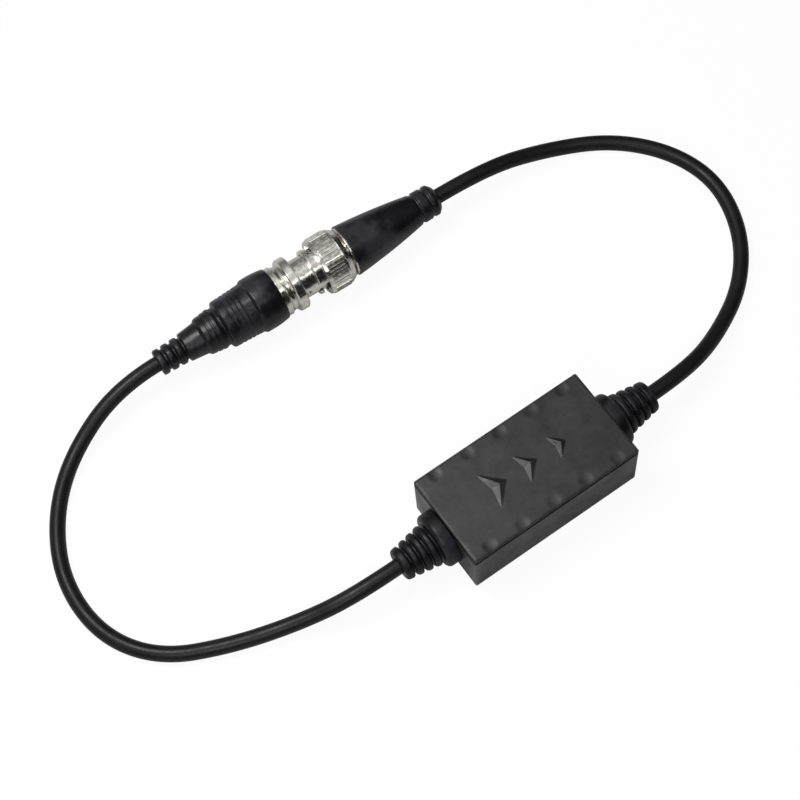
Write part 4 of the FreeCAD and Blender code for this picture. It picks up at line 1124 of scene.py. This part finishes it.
@dataclass(frozen=True)
class Studio:
    """Camera, pale floor and soft lights.

    The room's stations are angles in degrees from straight up towards the near
    side, and the stations across it run from -1 at the left to 1 at the right.
    """

    eye: Point = (-0.09753, -0.12654, 0.41061)
    right: Point = (0.8182, -0.5727, -0.0512)
    up: Point = (0.5410, 0.7366, 0.4060)
    forward: Point = (0.1948, 0.3598, -0.9125)
    lens_mm: float = 87.74
    sensor_mm: float = 36.0
    nearest: float = 0.01
    farthest: float = 20.0
    floor_size: float = 6.0
    floor_level: float = -0.0001
    floor_seen: float = 0.92
    floor_lit: float = 0.56
    floor_glow: float = 0.94
    floor_mirrored: float = 0.1
    room: tuple[Station, ...] = (
        (-100.0, 0.3),
        (-60.0, 0.35),
        (-38.0, 0.75),
        (-24.0, 0.95),
        (-8.0, 1.25),
        (4.0, 0.95),
        (14.0, 0.9),
        (23.0, 0.9),
        (26.0, 3.6),
        (30.5, 3.6),
        (32.5, 0.02),
        (84.0, 0.02),
        (88.0, 0.9),
    )
    room_peak: float = 4.0
    across: tuple[Station, ...] = (
        (-1.0, 0.35),
        (-0.7, 0.35),
        (-0.3, 1.0),
        (0.08, 1.06),
        (0.45, 0.06),
        (1.0, 0.06),
    )
    middle: Point = (-0.005, 0.035, 0.0)
    key_spot: Point = (-0.115, 0.14, 0.36)
    key_size: float = 0.14
    key_watts: float = 0.8
    left_spot: Point = (-0.14, -0.10, 0.17)
    left_size: float = 0.1
    left_watts: float = 0.1

    def camera(self) -> None:
        """Place the camera at the photograph's viewing angle."""
        data = bpy.data.cameras.new("photo_camera")
        data.lens = self.lens_mm
        data.sensor_width = self.sensor_mm
        data.clip_start = self.nearest
        data.clip_end = self.farthest
        camera = bpy.data.objects.new("photo_camera", data)
        bpy.context.scene.collection.objects.link(camera)
        axes = (Vector(self.right), Vector(self.up), -Vector(self.forward))
        turn = Matrix([axis.normalized() for axis in axes]).transposed().to_4x4()
        camera.matrix_world = Matrix.Translation(self.eye) @ turn
        bpy.context.scene.camera = camera

    def floor(self) -> None:
        """Lay a pale floor that shows white and keeps a light shadow."""
        mesh = bpy.data.meshes.new("floor")
        sheet = bmesh.new()
        bmesh.ops.create_grid(sheet, x_segments=1, y_segments=1, size=self.floor_size / 2)
        sheet.to_mesh(mesh)
        sheet.free()
        floor = bpy.data.objects.new("floor", mesh)
        floor.location.z = self.floor_level
        bpy.context.scene.collection.objects.link(floor)
        mesh.materials.append(self.floor_finish())

    def floor_finish(self) -> bpy.types.Material:
        """Make the floor's material: matt, white to the camera and dim in mirrors.

        Returns:
            Material of the floor.
        """
        material = bpy.data.materials.new("pale_floor")
        material.use_nodes = True
        graph = NodeGraph(material.node_tree)
        nodes, links = graph.nodes, graph.links
        nodes.remove(nodes["Principled BSDF"])
        matt = nodes.new("ShaderNodeBsdfDiffuse")
        glow = nodes.new("ShaderNodeEmission")
        glow.inputs["Strength"].default_value = 1.0
        mix = nodes.new("ShaderNodeMixShader")
        path = nodes.new("ShaderNodeLightPath").outputs
        paler = self.floor_seen - self.floor_lit
        grey = graph.calculate("MULTIPLY_ADD", path["Is Camera Ray"], paler, self.floor_lit)
        links.new(grey, matt.inputs["Color"])
        seen = graph.calculate("MULTIPLY", path["Is Camera Ray"], self.floor_glow)
        mirrored = graph.calculate("MAXIMUM", path["Is Glossy Ray"], path["Is Transmission Ray"])
        mirrored = graph.calculate("MULTIPLY", mirrored, self.floor_mirrored)
        links.new(graph.calculate("MAXIMUM", seen, mirrored), mix.inputs["Fac"])
        links.new(matt.outputs["BSDF"], mix.inputs[1])
        links.new(glow.outputs["Emission"], mix.inputs[2])
        links.new(mix.outputs["Shader"], nodes["Material Output"].inputs["Surface"])
        return material

    def world(self) -> None:
        """Surround the object with a studio that is lit by level and by side."""
        world = bpy.data.worlds.new("studio_room")
        bpy.context.scene.world = world
        world.use_nodes = True
        graph = NodeGraph(world.node_tree)
        nodes, links = graph.nodes, graph.links
        split = nodes.new("ShaderNodeSeparateXYZ")
        links.new(nodes.new("ShaderNodeTexCoord").outputs["Generated"], split.inputs["Vector"])
        near = graph.calculate("MULTIPLY", split.outputs["Y"], -1.0)
        angle = graph.calculate("ARCTAN2", near, split.outputs["Z"])
        share = graph.calculate("MULTIPLY_ADD", angle, 0.5 / math.pi, 0.5)
        stations = [(degrees / 360 + 0.5, level) for degrees, level in self.room]
        by_height = self.profile(graph, share, stations)
        share = graph.calculate("MULTIPLY_ADD", split.outputs["X"], 0.5, 0.5)
        stations = [(place / 2 + 0.5, level) for place, level in self.across]
        by_side = self.profile(graph, share, stations)
        level = graph.calculate("MULTIPLY", by_height, by_side)
        white = nodes.new("ShaderNodeLightPath").outputs["Is Camera Ray"]
        level = graph.calculate("MAXIMUM", level, white)
        background = nodes["Background"]
        background.inputs["Color"].default_value = (1.0, 1.0, 1.0, 1.0)
        links.new(level, background.inputs["Strength"])

    def profile(
        self, graph: NodeGraph, share: bpy.types.NodeSocket, stations: Sequence[Station]
    ) -> bpy.types.NodeSocket:
        """Return a level read off a smooth profile.

        Args:
            graph: Graph of the world.
            share: Place along the profile from 0 to 1.
            stations: Places and levels in order, at most room_peak high.

        Returns:
            Value socket.
        """
        ramp = graph.nodes.new("ShaderNodeValToRGB")
        ramp.color_ramp.interpolation = "EASE"
        stops = ramp.color_ramp.elements
        for number, (place, level) in enumerate(stations):
            stop = stops[number] if number < 2 else stops.new(1.0)
            stop.position = place
            stop.color = (*[level / self.room_peak] * 3, 1.0)
        graph.links.new(share, ramp.inputs["Fac"])
        return graph.calculate("MULTIPLY", ramp.outputs["Color"], self.room_peak)

    def soft_light(self, name: str, spot: Point, size: float, watts: float) -> None:
        """Hang a square soft light, turned to the middle of the object.

        Args:
            name: Name of the light.
            spot: Place of the light.
            size: Side of the light.
            watts: Power of the light.
        """
        data = bpy.data.lights.new(name, "AREA")
        data.size = size
        data.energy = watts
        lamp = bpy.data.objects.new(name, data)
        bpy.context.scene.collection.objects.link(lamp)
        lamp.location = spot
        sight = Vector(self.middle) - lamp.location
        lamp.rotation_euler = sight.to_track_quat("-Z", "Y").to_euler()
        lamp.visible_camera = False

    def build(self) -> None:
        """Set up the view, the floor and the light."""
        settings = bpy.context.scene.view_settings
        settings.view_transform = "Standard"
        self.camera()
        self.floor()
        self.world()
        self.soft_light("key_light", self.key_spot, self.key_size, self.key_watts)
        self.soft_light("left_light", self.left_spot, self.left_size, self.left_watts)


@dataclass(frozen=True)
class SubAssembly:
    """Part of the object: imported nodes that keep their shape, and mouldings made anew."""

    name: str
    kept: tuple[str, ...]
    mouldings: tuple[TurnedMoulding, ...] = ()

    def build(
        self, nodes: dict[str, bpy.types.Object], slots: dict[str, str], wardrobe: Wardrobe
    ) -> None:
        """Dress the kept nodes and make the mouldings.

        Args:
            nodes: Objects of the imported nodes.
            slots: Material slot of each node.
            wardrobe: Materials.
        """
        for node in self.kept:
            wardrobe.dress_node(nodes[node], slots[node])
        for moulding in self.mouldings:
            moulding.build(wardrobe)
        made = len(self.mouldings)
        LOG.info("%s: %d nodes dressed, %d pieces made", self.name, len(self.kept), made)


CASE = SubAssembly(
    name="case",
    kept=("case_base", "case_lid"),
    mouldings=(
        StrainRelief("input_relief_moulding", "input_strain_relief"),
        StrainRelief("output_relief_moulding", "output_strain_relief", placing=OUTPUT_PORT),
    ),
)
CIRCUIT = SubAssembly(
    name="circuit",
    kept=(
        "circuit_board",
        "ring_core",
        "input_winding",
        "output_winding",
        "coupling_capacitor",
        "bleed_resistor",
        "input_lead_end",
        "input_braid_tail",
        "output_lead_end",
        "output_braid_tail",
    ),
)
JACK = SubAssembly(
    name="jack",
    kept=("jack_body", "jack_insulator", "jack_contact", "jack_lead_end"),
    mouldings=(JackBoot("jack_boot_moulding", "jack_boot"),),
)
PLUG = SubAssembly(
    name="plug",
    kept=(
        "plug_body",
        "plug_insulator",
        "plug_pin",
        "sealing_gasket",
        "retaining_ring",
        "wave_washer",
        "thrust_washer",
        "bayonet_collar",
        "plug_lead_end",
    ),
    mouldings=(PlugBoot("plug_boot_moulding", "plug_boot"),),
)


def main() -> None:
    """Load the frame, build and dress every piece and set up the studio."""
    logging.basicConfig(level=logging.INFO, format="%(name)s: %(message)s")
    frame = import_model()
    slots = {part["node"]: part["material_slot"] for part in frame["record"]["subparts"]}
    wardrobe = Wardrobe()
    for assembly in (CASE, CIRCUIT, JACK, PLUG):
        assembly.build(frame["nodes"], slots, wardrobe)
    INPUT_CABLE.build(wardrobe)
    OUTPUT_CABLE.build(wardrobe)
    Studio().build()


if __name__ == "__main__":
    main()
